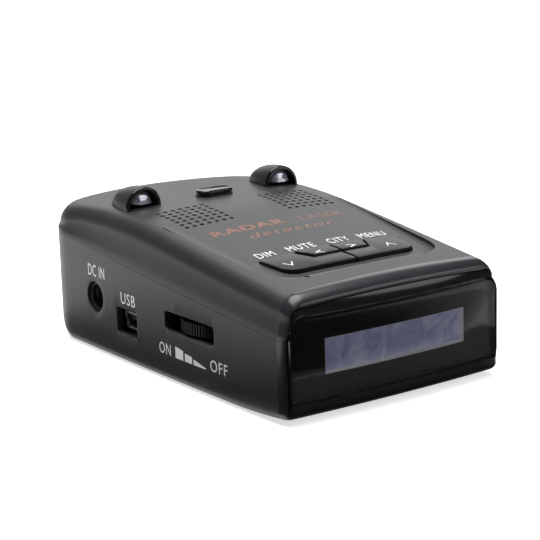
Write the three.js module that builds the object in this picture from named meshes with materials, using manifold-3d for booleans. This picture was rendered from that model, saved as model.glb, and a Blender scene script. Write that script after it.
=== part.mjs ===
// Dashboard radar detector. Units are millimetres, +Z is up.
// -Y is the display end that faces the driver, +Y is the windshield end,
// -X is the side with the sockets and the volume wheel.
// Inside the assembly group y is counted from the front edge of the side walls;
// the group is then shifted so that the origin is under the middle of the object.

import * as THREE from 'three';
import { mergeVertices } from 'three/addons/utils/BufferGeometryUtils.js';
import Module from 'manifold-3d';

const wasm = await Module();
wasm.setup();

// ---------- driving dimensions ----------

const FACE_WIDTH = 60;              // across the side walls at the display end
const SIDE_BOW = 0.6;               // each side swells by this much at mid length
const BODY_LENGTH = 110;
const FACE_PROUD = 4.2;             // display window ahead of the side walls, at its middle
const WALL = 2;                     // side and floor thickness
const ROOF = 2.6;                   // top thickness, before the key panel is sunk into it
const GAP = 0.3;                    // clearance between neighbouring pieces
const EPS = 0.01;                   // overlap of two pieces that are joined

const HALF = FACE_WIDTH / 2;
const REAR_Y = BODY_LENGTH - FACE_PROUD;
const ORIGIN_SHIFT = FACE_PROUD - BODY_LENGTH / 2;

const PARTING_Z = 18.44;            // height of the parting line at the display end
const PARTING_SLOPE = 0.094;        // the parting line climbs towards the windshield
const TOP_FRONT_Z = 28.6;           // crest of the top at the display end
const TOP_SLOPE = 0.1265;
const TOP_BEND_Y = 47.5;            // behind this the top rolls over and falls again
const TOP_BEND = 0.0027;
const CROWN = 0.00145;              // fall of the top to each side, per mm squared
const SHOULDER_R = 4.2;
const SIDE_LEAN = 1.2;              // upper side wall leans in by this much
const LEAN_HIGH = 4;                // over at least this height
const BOTTOM_EDGE_R = 2;
const REAR_BOTTOM_R = 9;
const FRONT_LIFT = 0.9;             // the underside curls up towards the display end
const FRONT_LIFT_Y = 18;            // from here forward
const REAR_CORNER_R = 14;
const REAR_CORNER_TURN = THREE.MathUtils.degToRad(69);

const PANEL_END_Y = 52;             // the sunk key panel runs out to nothing here
const PANEL_FRONT_Y = 7;
const PANEL_SLOPE = 0.027;          // depth gained per mm towards the driver

// ---------- solids and booleans ----------

function toManifold(geometry) {
  const bare = geometry.clone();
  for (const name of Object.keys(bare.attributes)) {
    if (name !== 'position') bare.deleteAttribute(name);
  }
  const merged = mergeVertices(bare, 1e-4);
  const place = merged.attributes.position;
  const kept = [];
  for (let i = 0; i < merged.index.count; i += 3) {
    const [a, b, c] = [0, 1, 2].map((k) => merged.index.getX(i + k));
    if (a !== b && b !== c && c !== a) kept.push(a, b, c);
  }
  return new wasm.Manifold(new wasm.Mesh({
    numProp: 3,
    vertProperties: new Float32Array(place.array),
    triVerts: new Uint32Array(kept),
  }));
}

function toGeometry(solid) {
  const mesh = solid.getMesh();
  const geometry = new THREE.BufferGeometry();
  geometry.setAttribute('position', new THREE.BufferAttribute(mesh.vertProperties, 3));
  geometry.setIndex(new THREE.BufferAttribute(mesh.triVerts, 1));
  return geometry;
}

const join = (first, ...rest) => rest.reduce((sum, piece) => sum.add(piece), first);
const cut = (first, ...rest) => rest.reduce((sum, piece) => sum.subtract(piece), first);

function box([x0, x1], [y0, y1], [z0, z1]) {
  const geometry = new THREE.BoxGeometry(x1 - x0, y1 - y0, z1 - z0);
  geometry.translate((x0 + x1) / 2, (y0 + y1) / 2, (z0 + z1) / 2);
  return toManifold(geometry);
}

function rod(axis, radius, from, to, [u, v], sides = 20) {
  const geometry = new THREE.CylinderGeometry(radius, radius, to - from, sides);
  const middle = (from + to) / 2;
  if (axis === 'x') geometry.rotateZ(-Math.PI / 2).translate(middle, u, v);
  if (axis === 'y') geometry.translate(u, middle, v);
  if (axis === 'z') geometry.rotateX(Math.PI / 2).translate(u, v, middle);
  return toManifold(geometry);
}

function extrude(points, from, to, settings = {}) {
  const shape = new THREE.Shape(points);
  const geometry = new THREE.ExtrudeGeometry(shape, {
    depth: to - from, bevelEnabled: false, curveSegments: 6, ...settings,
  });
  geometry.translate(0, 0, from);
  return toManifold(geometry);
}

function lathe(profile, sides = 24) {
  const geometry = new THREE.LatheGeometry(profile.map(([r, z]) => new THREE.Vector2(r, z)), sides);
  geometry.rotateX(Math.PI / 2);
  return toManifold(geometry);
}

function placed(solid, { at = [0, 0, 0], turn = [0, 0, 0] }) {
  const matrix = new THREE.Matrix4().makeRotationFromEuler(new THREE.Euler(...turn));
  matrix.setPosition(...at);
  const geometry = toGeometry(solid);
  geometry.applyMatrix4(matrix);
  return toManifold(geometry);
}

// Closed skin through rings of equal length; both end rings are flat or fold onto themselves.
function skin(rings, capped) {
  const count = rings[0].length;
  const positions = rings.flat().flatMap((p) => [p.x, p.y, p.z]);
  const faces = [];
  for (let r = 0; r + 1 < rings.length; r += 1) {
    for (let i = 0; i < count; i += 1) {
      const j = (i + 1) % count;
      const [a, b, c, d] = [r * count + i, r * count + j, (r + 1) * count + j, (r + 1) * count + i];
      faces.push(a, b, c, a, c, d);
    }
  }
  if (capped) {
    const flat = rings[0].map((p) => new THREE.Vector2(p.x, capped === 'y' ? p.z : p.y));
    const last = (rings.length - 1) * count;
    for (const [a, b, c] of THREE.ShapeUtils.triangulateShape(flat, [])) {
      faces.push(c, b, a);
      faces.push(last + a, last + b, last + c);
    }
  }
  const geometry = new THREE.BufferGeometry();
  geometry.setAttribute('position', new THREE.Float32BufferAttribute(positions, 3));
  geometry.setIndex(faces);
  const solid = toManifold(geometry);
  return solid;
}

// ---------- shape of the casing ----------

const partingZ = (y) => PARTING_Z + PARTING_SLOPE * y;

function topZ(x, y) {
  const past = Math.max(0, y - TOP_BEND_Y);
  return TOP_FRONT_Z + TOP_SLOPE * y - TOP_BEND * past * past - CROWN * x * x;
}

const panelDepth = (y) => Math.max(0, PANEL_SLOPE * (PANEL_END_Y - y));
const panelZ = (x, y) => topZ(x, y) - panelDepth(y);

function spaced(points, step) {
  const out = [];
  points.forEach((p, i) => {
    const next = points[i + 1];
    out.push(p);
    if (!next) return;
    const parts = Math.ceil(p.distanceTo(next) / step);
    for (let k = 1; k < parts; k += 1) out.push(p.clone().lerp(next, k / parts));
  });
  return out;
}

// An outline that is the same on both sides: the right half, then its mirror image.
function mirrored(half) {
  const left = half.slice(1, -1).reverse().map((p) => new THREE.Vector2(-p.x, p.y));
  return [...half, ...left];
}

// How far a side wall stands out beyond its place at the display end.
function sideBow(y) {
  const middle = BODY_LENGTH / 2 - FACE_PROUD;
  const along = Math.min(1, Math.abs(y - middle) / middle);
  return SIDE_BOW * (1 - along * along);
}

function planOutline() {
  const path = new THREE.Path();
  const frontY = -FACE_PROUD - REAR_CORNER_R;
  const cornerX = HALF - REAR_CORNER_R;
  const endX = cornerX + REAR_CORNER_R * Math.cos(REAR_CORNER_TURN);
  const endY = REAR_Y - endX / 2 / Math.tan(REAR_CORNER_TURN);
  const cornerY = endY - REAR_CORNER_R * Math.sin(REAR_CORNER_TURN);
  path.moveTo(0, frontY);
  path.lineTo(cornerX, frontY);
  path.absarc(cornerX, frontY + REAR_CORNER_R, REAR_CORNER_R, -Math.PI / 2, 0);
  path.lineTo(HALF, cornerY);
  path.absarc(cornerX, cornerY, REAR_CORNER_R, 0, REAR_CORNER_TURN);
  path.quadraticCurveTo(endX / 2, REAR_Y, 0, REAR_Y);
  return mirrored(spaced(path.getPoints(5), 9).map((p) => new THREE.Vector2(
    p.x * (1 + sideBow(p.y) / HALF),
    p.y,
  )));
}

function inset(outline, distance) {
  return outline.map((p, i) => {
    const before = outline[(i + outline.length - 1) % outline.length];
    const after = outline[(i + 1) % outline.length];
    const along = after.clone().sub(before).normalize();
    const away = typeof distance === 'function' ? distance(p) : distance;
    return new THREE.Vector2(p.x - along.y * away, p.y + along.x * away);
  });
}

const PLAN = planOutline();
const SPINE = [REAR_CORNER_R - FACE_PROUD, REAR_Y - 2 * REAR_CORNER_R];

function towardsSpine(outline, share) {
  return outline.map((p) => {
    const y = THREE.MathUtils.clamp(p.y, ...SPINE);
    return new THREE.Vector2(p.x * (1 - share), THREE.MathUtils.lerp(p.y, y, share));
  });
}

const raise = (outline, height) => outline.map((p) => new THREE.Vector3(p.x, p.y, height(p.x, p.y)));

function undersideZ(y) {
  const ahead = Math.max(0, FRONT_LIFT_Y - Math.max(0, y)) / FRONT_LIFT_Y;
  return FRONT_LIFT * ahead * ahead;
}

function bottomRadius(p) {
  const turn = THREE.MathUtils.smoothstep(p.y, REAR_Y - 2 * REAR_BOTTOM_R, REAR_Y - BOTTOM_EDGE_R);
  return THREE.MathUtils.lerp(BOTTOM_EDGE_R, REAR_BOTTOM_R, turn);
}

// Towards the windshield the top falls nearer the parting line: the lean gives way to a rounder shoulder.
function leanAt(p) {
  const upright = topZ(p.x, p.y) - partingZ(p.y) - SHOULDER_R;
  return SIDE_LEAN * THREE.MathUtils.clamp(upright / LEAN_HIGH, 0, 1);
}

// The casing as one solid, drawn in by side, floor and roof on every face.
function casing(side, floor, roof) {
  const plan = inset(PLAN, side);
  const rings = [];
  const arcSteps = 4;
  const bottomArc = (turn) => {
    const radius = (p) => Math.max(0.6, bottomRadius(p) - side);
    const drawn = inset(plan, (p) => radius(p) * (1 - Math.sin(turn)));
    return drawn.map((p, i) => {
      const rise = radius(plan[i]) * (1 - Math.cos(turn));
      return new THREE.Vector3(p.x, p.y, floor + undersideZ(p.y) + rise);
    });
  };
  const foot = bottomArc(0).map((p) => new THREE.Vector2(p.x, p.y));
  for (const share of [1, 0.5]) {
    rings.push(raise(towardsSpine(foot, share), (x, y) => floor + undersideZ(y)));
  }
  for (let k = 0; k <= arcSteps; k += 1) rings.push(bottomArc((k / arcSteps) * Math.PI / 2));
  rings.push(raise(plan, (x, y) => partingZ(y)));
  const radius = SHOULDER_R - side;
  for (let k = 0; k <= arcSteps; k += 1) {
    const turn = (k / arcSteps) * Math.PI / 2;
    const reach = (p) => radius + SIDE_LEAN - leanAt(p);
    const drawn = inset(plan, (p) => leanAt(p) + reach(p) * (1 - Math.cos(turn)));
    rings.push(drawn.map((p, i) => {
      const crest = topZ(p.x, p.y) - roof;
      const rise = Math.min(reach(plan[i]), crest - partingZ(p.y) - GAP);
      return new THREE.Vector3(p.x, p.y, crest - rise * (1 - Math.sin(turn)));
    }));
  }
  const shoulder = inset(plan, SIDE_LEAN + radius);
  for (const share of [0.35, 0.7, 1]) {
    rings.push(raise(towardsSpine(shoulder, share), (x, y) => topZ(x, y) - roof));
  }
  return skin(rings);
}

function aboveParting(offset) {
  const halfSpace = box([-HALF * 2, HALF * 2], [-BODY_LENGTH, BODY_LENGTH * 2], [0, BODY_LENGTH]);
  return placed(halfSpace, { at: [0, 0, PARTING_Z + offset], turn: [Math.atan(PARTING_SLOPE), 0, 0] });
}

// A solid with an outline in plan whose floor and roof follow two height functions.
function slab(outline, low, high) {
  const middle = (share) => outline.map((p) => new THREE.Vector2(p.x * (1 - share), p.y));
  const rings = [1, 0.5, 0].map((share) => raise(middle(share), low));
  rings.push(...[0, 0.5, 1].map((share) => raise(middle(share), high)));
  return skin(rings);
}

// ---------- casing covers ----------

const OUTER = casing(0, 0, 0);
const FRONT_CUT = box([-HALF * 2, HALF * 2], [-BODY_LENGTH, GAP], [-BODY_LENGTH, BODY_LENGTH]);
const HOLLOW = casing(WALL, WALL, ROOF);
const SHELL = cut(OUTER, HOLLOW, FRONT_CUT);

const BOSS_R = 3;
const BOSS_BORE_R = 1.5;
const SCREW_HEAD_R = 2.4;
const SCREW_HEAD_SEAT_Z = 3.4;
const BOSSES = [[-24.4, 7.2], [24.4, 7.2], [-24.4, 87], [24.4, 87]];

const BOARD_TOP_Z = 8;
const BOARD_THICK = 1.6;
const BOARD_POSTS = [[0, 12], [22, 46], [-22, 48], [0, 56]];
const BOARD_POST_R = 1.6;

const DC = { y: 75, z: 13.7, holeR: 3.8 };
const USB = { y: 60.6, z: 10.25, recessWide: 9.3, recessHigh: 6.1 };
const WHEEL_SLOT = { y: 33.7, z: 14.4, long: 19.7, high: 4.3 };
const LASER_OPENING = { x: [5, 21], z: [11, 22.5] };
const SLOT = { half: 9.7, low: 25.2, high: 29.5, end: 63.9 };
const LABEL = { wide: 36, long: 26, y: 56, recess: 0.7 };

// Entry for the windshield bracket, half in each cover.
const bracketSlot = () => box([-SLOT.half, SLOT.half], [SLOT.end, REAR_Y + 1], [SLOT.low, SLOT.high]);

function bottomCover() {
  let cover = cut(SHELL, aboveParting(-GAP / 2));
  for (const [x, y] of BOSSES) {
    const post = rod('z', BOSS_R, WALL - GAP, partingZ(y) - GAP, [x, y], 16);
    cover = join(cover, post.intersect(OUTER));
  }
  for (const [x, y] of BOSSES) {
    cover = cut(cover, rod('z', BOSS_BORE_R, -1, partingZ(y) + 1, [x, y], 12));
    cover = cut(cover, rod('z', SCREW_HEAD_R + GAP, -1, SCREW_HEAD_SEAT_Z, [x, y], 16));
  }
  for (const place of BOARD_POSTS) {
    const top = BOARD_TOP_Z - BOARD_THICK - GAP;
    cover = join(cover, rod('z', BOARD_POST_R, WALL - GAP, top, place, 12));
  }
  cover = cut(cover, rod('x', DC.holeR, -HALF - 2, -HALF + WALL + 1, [DC.y, DC.z], 24));
  cover = cut(cover, box(
    [-HALF - 2, -HALF + WALL + 1],
    [USB.y - USB.recessWide / 2, USB.y + USB.recessWide / 2],
    [USB.z - USB.recessHigh / 2, USB.z + USB.recessHigh / 2],
  ));
  cover = cut(cover, box(
    [-HALF - 2, -HALF + WALL + 1],
    [WHEEL_SLOT.y - WHEEL_SLOT.long / 2, WHEEL_SLOT.y + WHEEL_SLOT.long / 2],
    [WHEEL_SLOT.z - WHEEL_SLOT.high / 2, WHEEL_SLOT.z + WHEEL_SLOT.high / 2],
  ));
  cover = cut(cover, bracketSlot());
  cover = cut(cover, box(LASER_OPENING.x, [REAR_Y - 8, REAR_Y + 1], LASER_OPENING.z));
  cover = cut(cover, box(
    [-LABEL.wide / 2, LABEL.wide / 2],
    [LABEL.y - LABEL.long / 2, LABEL.y + LABEL.long / 2],
    [-1, LABEL.recess],
  ));
  return cover;
}

// ---------- key panel on the top ----------

function panelOutline() {
  const path = new THREE.Path();
  path.moveTo(0, PANEL_FRONT_Y - 0.4);
  path.quadraticCurveTo(12, PANEL_FRONT_Y - 0.2, 17.5, PANEL_FRONT_Y + 0.5);
  path.quadraticCurveTo(23.3, PANEL_FRONT_Y + 1.4, 23.6, PANEL_FRONT_Y + 9);
  path.lineTo(25.8, PANEL_END_Y + 3);
  path.lineTo(0, PANEL_END_Y + 3);
  return mirrored(spaced(path.getPoints(5), 9));
}

const PANEL_TILT = Math.atan(TOP_SLOPE + PANEL_SLOPE);
const KEY_PROUD = 1;
const KEY_THICK = 2.8;
const KEY_TRAVEL = 0.4;
const KEY_Y = 16;                  // middle of the key group
const KEY_PLANE = { at: [0, KEY_Y, panelZ(0, KEY_Y)], turn: [PANEL_TILT, 0, 0] };

// Key outlines in the plane of the panel, x across and v up towards the windshield.
const KEY_BACK = 5.6;
const KEY_MID = 0.9;
const KEY_FRONT = -5;
const KEY_SIDE = 19.3;
const CENTRE_GAP = 0.35;
const KEY_OUTLINES = {
  key_dim: [
    [-CENTRE_GAP, KEY_FRONT], [-CENTRE_GAP, KEY_MID - 0.5], [-7.9, KEY_MID - 0.5], [-10.2, KEY_BACK],
    [-KEY_SIDE + 1, KEY_BACK], [-KEY_SIDE, KEY_BACK - 1], [-KEY_SIDE + 0.5, KEY_FRONT + 4],
    [-KEY_SIDE + 3.4, KEY_FRONT + 1.1], [-KEY_SIDE + 5, KEY_FRONT + 0.6],
  ],
  key_mute: [[-CENTRE_GAP, KEY_MID], [-CENTRE_GAP, KEY_BACK], [-9.3, KEY_BACK], [-7.4, KEY_MID]],
};
KEY_OUTLINES.key_menu = KEY_OUTLINES.key_dim.map(([x, v]) => [-x, v]).reverse();
KEY_OUTLINES.key_city = KEY_OUTLINES.key_mute.map(([x, v]) => [-x, v]).reverse();
const KEY_POSTS = { key_dim: [-14.5, 1], key_mute: [-4.6, 3.3], key_city: [4.6, 3.3], key_menu: [14.5, 1] };

const vectors = (points) => points.map(([x, y]) => new THREE.Vector2(x, y));

function roundedBox(wide, high, radius) {
  const shape = new THREE.Shape();
  const [w, h] = [wide / 2 - radius, high / 2 - radius];
  shape.absarc(w, -h, radius, -Math.PI / 2, 0);
  shape.absarc(w, h, radius, 0, Math.PI / 2);
  shape.absarc(-w, h, radius, Math.PI / 2, Math.PI);
  shape.absarc(-w, -h, radius, Math.PI, Math.PI * 1.5);
  const points = shape.getPoints(5);
  points.pop();
  return points;
}

function keyCap(name) {
  const outline = vectors(KEY_OUTLINES[name]);
  const body = extrude(outline, KEY_PROUD - KEY_THICK, KEY_PROUD - 0.3);
  const face = extrude(inset(outline, 0.25), KEY_PROUD - 0.35, KEY_PROUD);
  const postEnd = SWITCH_TOP + KEY_TRAVEL + 0.1;
  const post = rod('z', 1.2, postEnd, KEY_PROUD - KEY_THICK + 0.5, KEY_POSTS[name], 12);
  return placed(join(body, face, post), KEY_PLANE);
}

const SWITCH_TOP = -4.3;           // plunger top below the panel face
const SWITCH = { wide: 6, high: 2.1, plungerR: 1.5, plungerHigh: 0.7 };
const KEY_BOARD_TOP = SWITCH_TOP - SWITCH.plungerHigh - SWITCH.high - GAP;

function tactSwitch(name) {
  const [x, v] = KEY_POSTS[`key_${name}`];
  const half = SWITCH.wide / 2;
  const top = SWITCH_TOP - SWITCH.plungerHigh;
  const base = box([x - half, x + half], [v - half, v + half], [top - SWITCH.high, top]);
  const plunger = rod('z', SWITCH.plungerR, top - EPS, SWITCH_TOP, [x, v], 12);
  return placed(join(base, plunger), KEY_PLANE);
}

function keyBoard() {
  const outline = roundedBox(41, 13, 1);
  return placed(extrude(outline, KEY_BOARD_TOP - 1.2, KEY_BOARD_TOP), {
    at: KEY_PLANE.at, turn: KEY_PLANE.turn,
  });
}

// ---------- top cover ----------

const GRILLE = { pitch: 2.08, holes: 7, firstX: 8.5, firstY: 47.4, radius: 0.52 };
const BUTTON = { y: 67.2, wide: 9.6, deep: 4.8, proud: 1.2, high: 4.2 };
const DOME = { x: 20.4, y: 68.2, wide: 4.8, high: 5.1, long: 12.6 };
const PIPE_R = 1.9;
const SPEAKER = { x: -14.75, y: 53.6, radius: 8.4 };
const SPEAKER_SEAT = {
  at: [SPEAKER.x, SPEAKER.y, topZ(SPEAKER.x, SPEAKER.y) - ROOF],
  turn: [
    Math.atan(TOP_SLOPE - 2 * TOP_BEND * (SPEAKER.y - TOP_BEND_Y)),
    Math.atan(2 * CROWN * SPEAKER.x),
    0,
  ],
};

function grilleHoles() {
  const holes = [];
  for (const side of [-1, 1]) {
    for (let i = 0; i < GRILLE.holes; i += 1) {
      for (let j = 0; j < GRILLE.holes; j += 1) {
        const x = side * (GRILLE.firstX + i * GRILLE.pitch);
        const y = GRILLE.firstY + j * GRILLE.pitch;
        holes.push(rod('z', GRILLE.radius, topZ(x, y) - ROOF - 1, topZ(x, y) + 1, [x, y], 6));
      }
    }
  }
  return holes;
}

function topCover() {
  let cover = SHELL.intersect(aboveParting(GAP / 2));
  for (const [x, y] of BOSSES) {
    const post = rod('z', BOSS_R, partingZ(y) + GAP, topZ(x, y), [x, y], 16);
    cover = join(cover, post.intersect(casing(WALL / 2, WALL, ROOF / 2)));
    cover = cut(cover, rod('z', BOSS_BORE_R, 0, topZ(x, y) - ROOF, [x, y], 12));
  }
  const speakerRing = lathe([
    [SPEAKER.radius + GAP, -4.5], [SPEAKER.radius + 1.5, -4.5],
    [SPEAKER.radius + 1.5, 1], [SPEAKER.radius + GAP, 1], [SPEAKER.radius + GAP, -4.5],
  ], 28);
  cover = join(cover, placed(speakerRing, SPEAKER_SEAT));
  const sunk = slab(panelOutline(), panelZ, (x, y) => topZ(x, y) + 3);
  cover = cut(cover, sunk);
  const opening = inset(vectors(keyGroupOutline()), -GAP);
  cover = cut(cover, placed(extrude(opening, -6, 4), KEY_PLANE));
  cover = cut(cover, placed(extrude(roundedBox(BUTTON.wide + 2 * GAP, BUTTON.deep + 2 * GAP,
    BUTTON.deep / 2), -8, 8), { at: [0, BUTTON.y, topZ(0, BUTTON.y)] }));
  for (const side of [-1, 1]) {
    cover = cut(cover, rod('z', PIPE_R + GAP, 25, 45, [side * DOME.x, DOME.y + 3.2], 16));
  }
  cover = cut(cover, bracketSlot());
  for (const hole of grilleHoles()) cover = cut(cover, hole);
  return cover;
}

function keyGroupOutline() {
  const right = KEY_OUTLINES.key_menu;
  const side = right.filter(([x]) => x > 10);
  const points = [[0, KEY_FRONT], ...side.slice().sort((a, b) => a[1] - b[1]), [0, KEY_BACK]];
  return [...points, ...points.slice(1, -1).reverse().map(([x, v]) => [-x, v])];
}

// ---------- display end ----------

const FACE_BOW = 1.3;              // the face bulges forward in plan
const WINDOW = { half: 28.7, low: 4.65, high: 23.75, lowR: 0.5, highR: 3.6, thick: 1.2 };
const WINDOW_EDGE_Y = FACE_BOW - FACE_PROUD;
const SCREEN = { half: 19.4, low: 9.85, high: 17.65 };
const HOLDER_BACK_Y = 0;

const faceY = (x, setBack) => WINDOW_EDGE_Y + setBack - FACE_BOW * (1 - (x / WINDOW.half) ** 2);

// Rounded rectangle in the XZ plane, anticlockwise as the driver sees it.
function frontOutline({ half, low, high, lowR, highR, lean = 0, crown = 0 }) {
  const steps = 5;
  const right = [];
  const fan = (cx, cz, r, from) => {
    for (let k = 0; k <= steps; k += 1) {
      const turn = from + (k / steps) * Math.PI / 2;
      right.push(new THREE.Vector2(cx + r * Math.cos(turn), cz + r * Math.sin(turn)));
    }
  };
  const shoulderX = half - lean - highR;
  const shoulderZ = high - crown * shoulderX * shoulderX - highR;
  right.push(new THREE.Vector2(0, low), new THREE.Vector2(half / 2, low));
  fan(half - lowR, low + lowR, lowR, -Math.PI / 2);
  right.push(new THREE.Vector2(half, (low + shoulderZ) / 2));
  fan(shoulderX, shoulderZ, highR, 0);
  right.push(new THREE.Vector2(shoulderX * 0.66, high - crown * (shoulderX * 0.66) ** 2));
  right.push(new THREE.Vector2(shoulderX * 0.33, high - crown * (shoulderX * 0.33) ** 2));
  right.push(new THREE.Vector2(0, high));
  return mirrored(right);
}

const BODY_FRONT = {
  half: HALF, low: FRONT_LIFT, high: TOP_FRONT_Z, lowR: BOTTOM_EDGE_R,
  highR: SHOULDER_R, lean: SIDE_LEAN, crown: CROWN,
};

const grown = (outline, by) => ({
  ...outline,
  half: outline.half + by,
  low: outline.low - by,
  high: outline.high + by,
  lowR: Math.max(0.3, outline.lowR + by),
  highR: Math.max(0.3, outline.highR + by),
});

const section = (outline, y) => frontOutline(outline).map((p) => new THREE.Vector3(p.x, y(p.x), p.y));

function displayBezel() {
  const lip = { ...grown(WINDOW, 0.9), half: HALF - 0.5, highR: 5 };
  const outer = skin([
    section(BODY_FRONT, () => 0),
    section(grown(BODY_FRONT, -0.15), () => -0.9),
    section({ ...grown(BODY_FRONT, -1), half: HALF - 0.35 }, () => -1.9),
    section(lip, (x) => faceY(x, -0.1) * 0.98),
  ], 'y');
  const inside = { ...grown(BODY_FRONT, -WALL - GAP), high: TOP_FRONT_Z - ROOF - GAP };
  const tongue = skin([
    section(inside, () => 3),
    section(inside, () => -0.5),
  ], 'y');
  const opening = skin([
    section(grown(WINDOW, GAP), () => 4),
    section(grown(WINDOW, GAP), () => -2 * FACE_PROUD),
  ], 'y');
  return cut(join(outer, tongue), opening);
}

function displayWindow() {
  return skin([
    section(WINDOW, (x) => faceY(x, WINDOW.thick)),
    section(WINDOW, (x) => faceY(x, 0.2)),
    section(grown(WINDOW, -0.2), (x) => faceY(x, 0)),
  ], 'y');
}

function displayHolder() {
  const outline = grown(WINDOW, -GAP);
  const block = skin([
    section(outline, () => HOLDER_BACK_Y),
    section(outline, (x) => faceY(x, WINDOW.thick + 3 * GAP)),
  ], 'y');
  const mask = box([-SCREEN.half, SCREEN.half], [-9, 9], [SCREEN.low, SCREEN.high]);
  const pocket = box([-22, 22], [-0.9, 9], [SCREEN.low - 2.2, SCREEN.high + 2.2]);
  return cut(block, mask, pocket);
}

function displayLayer(half, overlap, y0, y1) {
  return box([-half, half], [y0, y1], [SCREEN.low - overlap, SCREEN.high + overlap]);
}

// ---------- alert domes ----------

const seatZ = (side, y) => topZ(side * DOME.x, y);

function ellipsoid(centre, radii, detail = 20) {
  const geometry = new THREE.SphereGeometry(1, detail, Math.round(detail * 0.6));
  geometry.scale(...radii).translate(...centre);
  return toManifold(geometry);
}

const AHEAD = (y) => box([-HALF * 2, HALF * 2], [-BODY_LENGTH, y], [-BODY_LENGTH, BODY_LENGTH]);

function domeHood(side) {
  const centre = [side * DOME.x, DOME.y, seatZ(side, DOME.y)];
  const shell = ellipsoid(centre, [DOME.wide, DOME.long, DOME.high]);
  const bowl = ellipsoid([centre[0], centre[1] + 1, centre[2]], [DOME.wide - 1, 5.6, DOME.high - 1], 16);
  const mouth = rod('y', DOME.wide - 1, DOME.y - 2, DOME.y + 1, [centre[0], centre[2]], 20);
  return cut(shell, AHEAD(DOME.y), casing(-GAP, 0, -GAP), bowl, mouth);
}

function domeRing(side) {
  const centre = [side * DOME.x, seatZ(side, DOME.y)];
  const outer = rod('y', DOME.high, DOME.y - 1.2, DOME.y - GAP, centre, 28);
  const inner = rod('y', DOME.wide - 1, DOME.y - 2, DOME.y + 1, centre, 28);
  const squeeze = new THREE.Matrix4().makeScale(DOME.wide / DOME.high, 1, 1);
  const geometry = toGeometry(outer);
  geometry.translate(-centre[0], 0, 0).applyMatrix4(squeeze).translate(centre[0], 0, 0);
  return cut(toManifold(geometry), inner, casing(-GAP, 0, -GAP));
}

function alertCrystal(side) {
  const x = side * DOME.x;
  const y = DOME.y + 2.9;
  const base = seatZ(side, y);
  const gem = new THREE.IcosahedronGeometry(1, 1);
  gem.rotateX(0.3).scale(3.3, 2.6, 3.5).translate(x, y - 0.2, base);
  const head = cut(toManifold(gem), box([x - 9, x + 9], [y - 9, y + 9], [base - 9, base + 0.4]));
  const stem = rod('z', PIPE_R - 0.1, base - ROOF - 1.5, base + 1, [x, DOME.y + 3.2], 12);
  return join(head, stem);
}

const LED_TOP = (side) => seatZ(side, DOME.y + 2.9) - ROOF - 1.5 - GAP;

function alertLed(side) {
  const x = side * DOME.x;
  const y = DOME.y + 3.2;
  const top = LED_TOP(side);
  const chip = box([x - 1.6, x + 1.6], [y - 1.4, y + 1.4], [top - 1.8, top]);
  const board = box([x - 4, x + 4], [y - 4, y + 4], [top - 2.8, top - 1.75]);
  return join(chip, board);
}

// ---------- release button and bracket channel ----------

const CATCH = { y0: 65.8, y1: 69.4, leg: 10.1, legThick: 1.4, barLow: 21.5, barHigh: 23, tooth: 4.2 };
const SPRING = { y: 67.6, radius: 1.5, wire: 0.35, low: 16, turns: 3 };

function releaseButton() {
  const top = topZ(0, BUTTON.y) + BUTTON.proud;
  const capShape = roundedBox(BUTTON.wide, BUTTON.deep, BUTTON.deep / 2 - EPS);
  const faceShape = roundedBox(BUTTON.wide - 1.2, BUTTON.deep - 1.2, BUTTON.deep / 2 - 0.7);
  const cap = extrude(capShape, top - BUTTON.high, top - 0.5);
  const face = extrude(faceShape, top - 0.6, top);
  return join(placed(cap, { at: [0, BUTTON.y, 0] }), placed(face, { at: [0, BUTTON.y, 0] }));
}

function releaseCatch() {
  const outside = CATCH.leg + CATCH.legThick;
  const crossTop = topZ(0, BUTTON.y) + BUTTON.proud - BUTTON.high - GAP;
  const y = [CATCH.y0, CATCH.y1];
  const bar = box([-outside, outside], y, [CATCH.barLow, CATCH.barHigh]);
  const bridge = box([-outside, outside], y, [crossTop - 1, crossTop]);
  const legs = [-1, 1].map((side) => box(
    [Math.min(side * CATCH.leg, side * outside), Math.max(side * CATCH.leg, side * outside)],
    y,
    [CATCH.barLow + EPS, crossTop - EPS],
  ));
  const toothTop = CATCH.barHigh + CATCH.tooth;
  const tooth = box([-3, 3], [CATCH.y0 + 0.8, CATCH.y1 - 1.2], [CATCH.barHigh - EPS, toothTop]);
  return join(bar, bridge, ...legs, tooth);
}

class Helix extends THREE.Curve {
  constructor(radius, height, turns) {
    super();
    Object.assign(this, { radius, height, turns });
  }

  getPoint(t, target = new THREE.Vector3()) {
    const turn = t * this.turns * Math.PI * 2;
    return target.set(this.radius * Math.cos(turn), this.radius * Math.sin(turn), this.height * t);
  }
}

function releaseSpring() {
  const height = CATCH.barLow - GAP - SPRING.low - 2 * SPRING.wire;
  const wire = new THREE.Shape();
  wire.absarc(0, 0, SPRING.wire, 0, Math.PI * 2);
  const geometry = new THREE.ExtrudeGeometry(wire, {
    extrudePath: new Helix(SPRING.radius, height, SPRING.turns), steps: 36, curveSegments: 3,
  });
  geometry.translate(0, SPRING.y, SPRING.low + SPRING.wire);
  return toManifold(geometry);
}

const GUIDE = { half: 13.2, y0: SLOT.end, y1: REAR_Y - 3.4, floorLow: 23.5, floorHigh: SLOT.low };

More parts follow.
